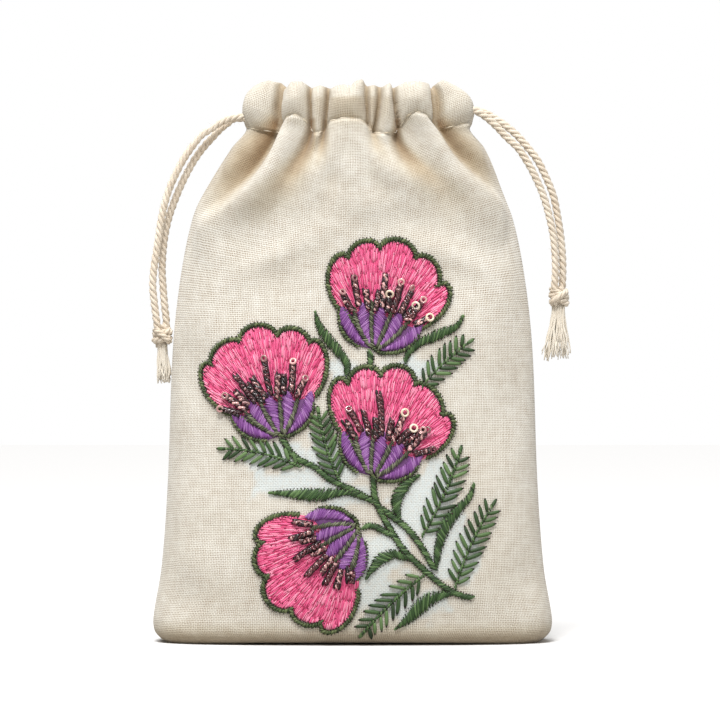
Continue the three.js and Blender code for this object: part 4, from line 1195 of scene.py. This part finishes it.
# Bead strings: (turn, start beyond the cup, length, ring at the end: none, rose or cream)
BEADS = {
    "top": [
        (42, -0.5, 6.5, "rose"), (31, 0.3, 8.6, "rose"), (20, -0.4, 6.4, "none"),
        (10, -0.6, 6.6, "none"), (2, 0, 11.0, "none"), (-7, -0.6, 5.6, "cream"),
        (-14, 0.2, 9.6, "rose"), (-24, -0.2, 8.4, "rose"), (-33, -0.4, 5.2, "cream"),
        (-38, 0.3, 8.0, "rose"), (-46, -0.6, 5.0, "cream"),
    ],
    "left": [
        (46, -1, 6.0, "rose"), (38, 0, 7.6, "rose"), (30, -0.5, 6.0, "none"), (21, -0.3, 10.6, "none"),
        (13, -0.6, 7.6, "none"), (6, -0.4, 8.0, "none"), (-2, 0, 11.6, "rose"),
        (-11, -0.5, 7.4, "none"), (-20, -0.4, 6.6, "none"), (-29, 0.2, 9.6, "rose"),
        (-38, -0.4, 6.4, "rose"),
    ],
    "middle": [
        (41, -0.4, 5.6, "none"), (31, 0.4, 7.6, "rose"), (21, -0.4, 8.2, "none"),
        (12, -0.5, 6.8, "none"), (5, 0, 13.2, "none"), (-5, -0.4, 6.6, "none"),
        (-13, 0.2, 9.6, "cream"), (-20, -0.4, 6.6, "cream"), (-28, -0.2, 7.4, "rose"),
        (-37, 0.2, 8.4, "rose"), (-46, -0.6, 5.6, "rose"),
    ],
    "bottom": [
        (-43, -0.3, 6.2, "none"), (-34, 0.3, 7.6, "none"), (-25, -0.5, 5.4, "none"),
        (-17, 0, 9.4, "none"), (-8, -0.6, 5.6, "none"), (1, -0.3, 9.4, "none"), (10, -0.4, 6.4, "none"),
        (18, 0.2, 7.6, "none"), (28, -0.2, 6.6, "none"), (37, -0.6, 4.4, "none"),
        (43, -0.4, 3.8, "none"),
    ],
}


def bead_strings(name, base, axis):
    """Strings of small dark glass beads between black stitches, with rings at some ends; the rose pieces
    are partly rose beads and partly painted pinkish glints on the dark beads.
    """
    dark_parts, rose_and_glint_parts, cream_parts, black = [], [], [], []
    for turn, beyond, length, ring in BEADS[name]:
        low = np.interp(turn, *np.array(CUP_EDGE).T) + beyond
        bend = rng.uniform(-8, 8)
        radii = np.arange(low, low + length, 0.3)
        flat = polar(base, axis + turn + bend * (radii - low) / 12, radii)
        place, normal = front_point(flat[:, 0], flat[:, 1], 1.3)
        way = unit(np.gradient(place, axis=0))
        aside = np.cross(way, normal)
        twist = 2 * np.pi * (radii - low) / rng.uniform(2.3, 3.1) + rng.uniform(0, 6)
        for strand in (0, np.pi):
            swell = 0.4 * (1 + 0.3 * np.sin(twist * 2 + rng.uniform(0, 6))) * rng.uniform(0.85, 1.15)
            swell[[0, -1]] = 0.2
            offset = aside * np.cos(twist + strand)[:, None]
            offset = offset + 0.7 * normal * np.sin(twist + strand)[:, None]
            # One ply is often rose: partly rose beads, partly painted pinkish glints
            pick = rose_and_glint_parts if strand == 0 and rng.random() < 0.62 else dark_parts
            pick.append(tube(place + 0.42 * offset, swell, 7)[:2])
        for n in rng.integers(1, len(place) - 1, 2 + int(length / 3)):
            wobble = unit(way[n] + rng.normal(0, 0.5, 3))
            seed = place[n] + aside[n] * rng.normal(0, 0.35) + normal[n] * 0.35
            # Some seed beads rose: partly rose beads, partly painted pinkish glints
            pick = rose_and_glint_parts if rng.random() < 0.4 else dark_parts
            pick.append(ring_bead(seed, normal[n], wobble, rng.uniform(0.55, 0.75), 0.3, 9, 6))
        if ring != "none":
            rings = cream_parts if ring == "cream" else rose_and_glint_parts
            size = 1.5 if ring == "cream" else 1.25
            lean = unit(normal[-1] + rng.normal(0, 0.35, 3))
            middle = place[-1] + way[-1] * 0.5 + normal[-1] * 0.45
            rings.append(ring_bead(middle, way[-1], lean, size, 0.38, 16, 7))
        for start in np.arange(low - 0.3, low + length - 1.4, 1.5):
            for side in (-1, 1):
                along = start + rng.uniform(-0.3, 0.3) + rng.uniform(2.0, 2.9) * np.linspace(0, 1, 5)
                out = 0.62 + rng.normal(0, 0.12)
                turns = turn + bend * (along - low) / 12 + side * np.degrees(out / along)
                black.append(polar(base, axis + turns, along))
    widths = rng.uniform(0.84, 1.08, len(black))
    bars = threads(np.array(black), widths, 1.05, height=0.9, spread=0.1, taper=0.6, sides=6)
    make_mesh(f"bead_strings_{name}", *merged(*dark_parts), MAROON, replaces=[f"beads_{name}"])
    make_mesh(f"bead_threads_{name}", *bars, BLACK_THREAD_AND_HOLE_SHADE)
    make_mesh(f"rose_beads_rings_and_glints_{name}", *merged(*rose_and_glint_parts), ROSE_BEADS_AND_GLINTS)
    if cream_parts:
        make_mesh(f"bead_pale_rings_{name}", *merged(*cream_parts), CREAM)


# Stems, fronds and leaves
STEMS = [
    [
        (37.9, 15.3), (33.5, 16.5), (28.6, 19.4), (22.6, 24.5), (16.6, 30.4), (12.7, 36.3), (9.3, 42.3),
        (7.2, 47.2), (6.6, 53.6),
    ],
    [(6.9, 46), (-0.2, 49.8), (-7.1, 53.2), (-12.1, 57.1), (-18, 60.1), (-22.3, 65.9)],
    [(26.1, 24.5), (22.1, 31.4), (17.7, 37.3), (12.7, 41.3), (8.8, 44.3)],
    [(13, 35.3), (9.8, 36.8), (6.7, 38.3), (3.6, 38.1)],
    [(5.8, 93.6), (5.6, 88.6)],
]
# Fronds: foot, tip, stitch length, pairs, sideways bow
FRONDS = [
    [(22.2, 82.8), (36.8, 96.7), 5.0, 8, 0.8],
    [(-16.8, 57.2), (-41, 62.8), 5.2, 9, -1.6],
    [(-4.3, 53.3), (-10.8, 74.5), 4.9, 9, 0.9],
    [(22.2, 35.3), (34.2, 61.9), 5.4, 10, -1],
    [(32.6, 18.6), (44.5, 44.9), 5.2, 10, 1.2],
    [(22.6, 22.5), (3.2, 3.4), 5.2, 9, -1],
]
# Leaves: the middle line, then the half width along it
LEAVES = [
    (
        [(-1.7, 86.9), (-1.9, 90.4), (-4.8, 94.4), (-8.3, 98.4), (-10.8, 102.4), (-11.9, 106.6)],
        [0.9, 1.3, 1.6, 1.7, 1.2, 0.4],
    ),
    (
        [(16.7, 90.8), (18, 93.7), (21.5, 96.8), (27.1, 99.2), (32.7, 101.6), (35.3, 105.3)],
        [0.8, 1.2, 1.5, 1.7, 1.1, 0.5],
    ),
    (
        [(6.5, 46.4), (3.8, 47.3), (-2.2, 49), (-9.1, 48.2), (-17, 48.5), (-26.5, 48.9)],
        [0.8, 0.9, 1.4, 2.1, 1.6, 0.4],
    ),
    ([(14.8, 40.7), (14.2, 46.2), (16.6, 51.3), (21.2, 54.5)], [0.8, 1.9, 1.8, 0.4]),
    (
        [(26.5, 25.8), (27.5, 32.4), (29.6, 38.3), (33.5, 43.3), (37, 47.2), (38.6, 51.5)],
        [0.8, 1.4, 1.9, 1.9, 1.1, 0.5],
    ),
    (
        [(19.3, 27.6), (16.1, 28.6), (12.4, 29.4), (8.8, 27.4), (5.7, 23.7), (4.4, 21.5)],
        [0.8, 1.1, 1.6, 1.9, 1.2, 0.4],
    ),
    ([(32.6, 17), (26.5, 15.5), (21.6, 12.6), (17.7, 8.6), (13.5, 5)], [0.7, 1.7, 2.4, 1.9, 0.3]),
]


def bowed(foot, tip, bow, count=24):
    """Line from foot to tip that bows sideways."""
    foot, tip = np.array(foot, float), np.array(tip, float)
    t = np.linspace(0, 1, count)[:, None]
    side = np.array([-(tip - foot)[1], (tip - foot)[0]]) / np.linalg.norm(tip - foot)
    return foot + (tip - foot) * t + side * bow * 4 * t * (1 - t)


def satin_strip(line, half_widths, lean=35, step=0.42, lift=0.62, width=0.5):
    """Slanted stitches across a line whose half width changes."""
    at = even(line, step)
    half = np.interp(np.linspace(0, 1, len(at)), np.linspace(0, 1, len(half_widths)), half_widths)
    tangent = unit(np.gradient(at, axis=0))
    across = np.stack([-tangent[:, 1], tangent[:, 0]], 1)
    turn = np.radians(lean + rng.normal(0, 5, len(at)))[:, None]
    way = across * np.cos(turn) + tangent * np.sin(turn)
    half = (half / np.cos(np.radians(lean)) * rng.uniform(0.85, 1.12, len(at)))[:, None]
    share = np.linspace(-1, 1, 5)[None, :, None]
    paths = at[:, None] + (way * half)[:, None] * share
    widths = width * rng.uniform(0.88, 1.12, len(at))
    return threads(paths, widths, lift, height=0.84 * width, spread=0.14)


for name, (base, axis, notches, peaks) in BLOSSOMS.items():
    blossom(name, base, axis, (notches, peaks))

stem_parts, stem_shade = [], []
for stem in STEMS:
    line = smooth_line(stem, 0.4)[0]
    stem_parts.append(satin_strip(line, [0.98, 0.98], 48, 0.66, 0.62, 0.7))
    # Dark dots along both edges of the stems are painted shade of the needle holes
    stem_shade.append(border_dots(line, 0.95, 1.0))
make_mesh("stem_stitches", *merged(*stem_parts), GREEN, replaces=["stems"])
make_mesh("stem_shade", *merged(*stem_shade), BLACK_THREAD_AND_HOLE_SHADE)

for k, (middle, half_widths) in enumerate(LEAVES):
    line = smooth_line(middle, 0.5)[0]
    widths = smooth_line(np.stack([np.arange(len(half_widths)), half_widths], 1), 0.25)[0][:, 1]
    strip = satin_strip(line, widths, 40 if k in (1, 2, 4, 6) else -40, 0.56, 0.62, 0.64)
    make_mesh(f"leaf_stitches_{k + 1}", *strip, GREEN, replaces=[f"leaf_{k + 1}"])
    # Painted shade of the needle holes along the leaf's edges
    holes = border_dots(line[3:-3], 1.1, np.array(half_widths) + 0.05)
    make_mesh(f"leaf_hole_shade_{k + 1}", *holes, BLACK_THREAD_AND_HOLE_SHADE)

def frond(label, foot, tip, half, pairs, bow):
    """Feathery frond: a thin middle line with pairs of long stitches and one at the tip."""
    line = even(bowed(foot, tip, bow * 0.9), 0.05)
    tangent = unit(np.gradient(line, axis=0))
    parts = [border(line, 0.9, 1.0, 0.7, 50, 0.8)]
    ends = []
    for n in range(pairs * 2 + 1):
        share = 0.05 + 0.93 * (n // 2) / pairs + (0.02 if n % 2 else 0)
        index = int(min(share, 0.99) * (len(line) - 1))
        way = tangent[index]
        side = np.array([-way[1], way[0]]) * (1 if n % 2 else -1)
        swell = 0.5 + 0.52 * np.sin(np.pi * min(0.16 + share * 0.8, 1))
        size = half * swell * rng.uniform(0.92, 1.08)
        if n == pairs * 2:
            side, size = side * 0, size * 0.7
        angle = np.radians(50 + rng.normal(0, 3))
        lead = side * np.sin(angle) + way * np.cos(angle) if n < pairs * 2 else way
        t = np.linspace(0, 1, 6)[:, None]
        ends.append(line[index] + side * 0.25 + lead * size * t + way * 0.35 * t**2)
    ends = np.array(ends)
    widths = rng.uniform(1.1, 1.34, len(ends))
    parts.append(threads(ends, widths, 0.66, height=0.66, taper=0.62, sides=6))
    make_mesh(f"frond_stitches_{label}", *merged(*parts), GREEN, replaces=[f"frond_{label}"])
    # Painted shade of the needle holes just past both ends of each stitch
    past_tip = np.array([-0.15, 0.15, 0.4])[None, :, None]
    past_foot = np.array([-0.15, 0.1, 0.35])[None, :, None]
    tips = ends[:, -1:] + (ends[:, -1:] - ends[:, -2:-1]) * past_tip
    feet = ends[:, :1] + (ends[:, 1:2] - ends[:, :1]) * past_foot
    holes = threads(np.concatenate([tips, feet]), 0.66, 0.82, height=0.5, sink=0.1, spread=0.05)
    make_mesh(f"frond_hole_shade_{label}", *holes, BLACK_THREAD_AND_HOLE_SHADE)


for k, (foot, tip, half, pairs, bow) in enumerate(FRONDS):
    frond(k + 1, foot, tip, half, pairs, bow)

# Running stitches that close the casing
STITCH_STEP = 0.1
STITCH_COUNT = 24
STITCH_REPEAT = 32
stitch_paths = []
casing_x = np.arange(-34.5, 35.5, STITCH_STEP)
casing_z = np.interp(casing_x, *np.array(STITCH_LINE).T) + 0.15
line = even(np.stack([casing_x, casing_z], 1), STITCH_STEP)
stitch_thread = thread_material("casing_thread", (196, 182, 156), (222, 211, 190), (240, 232, 216), 0.7)
for start in range(0, len(line) - STITCH_COUNT, STITCH_REPEAT):
    picked = start + np.linspace(0, STITCH_COUNT - 1, 6).astype(int)
    stitch_paths.append(line[picked])
casing = threads(np.array(stitch_paths), 0.42, 0.2, height=0.36, sink=0.5)
make_mesh("casing_stitches", *casing, stitch_thread)

# Floor and light
FLOOR_REACH = 3.0
FLOOR_SEEN = (0.8, 0.8, 0.802, 1)
FLOOR_FOR_LIGHT = (0.42, 0.41, 0.39, 1)
WORLD_LEVEL = 0.345
WORLD_TINT = (1, 0.97, 0.93, 1)
floor_corners = [(x * FLOOR_REACH, y * FLOOR_REACH, 0) for x, y in ((-1, -1), (1, -1), (1, 1), (-1, 1))]
floor_mesh = bpy.data.meshes.new("floor")
floor_mesh.from_pydata(floor_corners, [], [(0, 1, 2, 3)])
floor = bpy.data.objects.new("floor", floor_mesh)
bpy.context.collection.objects.link(floor)
floor_shader = Shader("white_floor")
seen_directly = floor_shader.node("LightPath").outputs["Is Camera Ray"]
floor_tone = floor_shader.mix(seen_directly, FLOOR_FOR_LIGHT, FLOOR_SEEN)
floor_shader.put(floor_shader.surface.inputs["Base Color"], floor_tone)
floor_shader.settle(0.9, 0.0)
floor_mesh.materials.append(floor_shader.material)
floor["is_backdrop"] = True

world = bpy.data.worlds.new("studio")
bpy.context.scene.world = world
world.use_nodes = True
tree = world.node_tree
light_path = tree.nodes.new("ShaderNodeLightPath")
plain = tree.nodes["Background"]
tint = tree.nodes.new("ShaderNodeMix")
tint.data_type = "RGBA"
tint.inputs[6].default_value = WORLD_TINT
tint.inputs[7].default_value = (1, 1, 1, 1)
tree.links.new(tint.outputs[2], plain.inputs["Color"])
level = tree.nodes.new("ShaderNodeMapRange")
level.inputs["To Min"].default_value = WORLD_LEVEL
level.inputs["To Max"].default_value = 1.0
seen = tree.nodes.new("ShaderNodeMath")
seen.operation = "MAXIMUM"
tree.links.new(light_path.outputs["Is Camera Ray"], seen.inputs[0])
tree.links.new(light_path.outputs["Is Glossy Ray"], seen.inputs[1])
tree.links.new(seen.outputs[0], level.inputs[0])
tree.links.new(seen.outputs[0], tint.inputs[0])
tree.links.new(level.outputs[0], plain.inputs["Strength"])


LIGHT_TARGET = Vector((0, 0, 0.1))


def area_light(name, location, size, power, colour=(1, 1, 1)):
    data = bpy.data.lights.new(name, "AREA")
    data.shape = "DISK"
    data.size = size
    data.energy = power
    data.color = colour
    lamp = bpy.data.objects.new(name, data)
    lamp.location = location
    lamp.rotation_euler = (LIGHT_TARGET - Vector(location)).to_track_quat("-Z", "Y").to_euler()
    bpy.context.collection.objects.link(lamp)


area_light("key", (-0.14, -0.8, 1.1), 0.3, 10.2, (1, 0.99, 0.98))
area_light("fill", (0.9, -0.9, 0.5), 0.8, 2.2)
overhead_data = bpy.data.lights.new("overhead", "SUN")
overhead_data.energy = 2.8
overhead_data.angle = np.radians(50)
overhead = bpy.data.objects.new("overhead", overhead_data)
overhead.rotation_euler = (np.radians(12), np.radians(-8), 0)
bpy.context.collection.objects.link(overhead)

low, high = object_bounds()
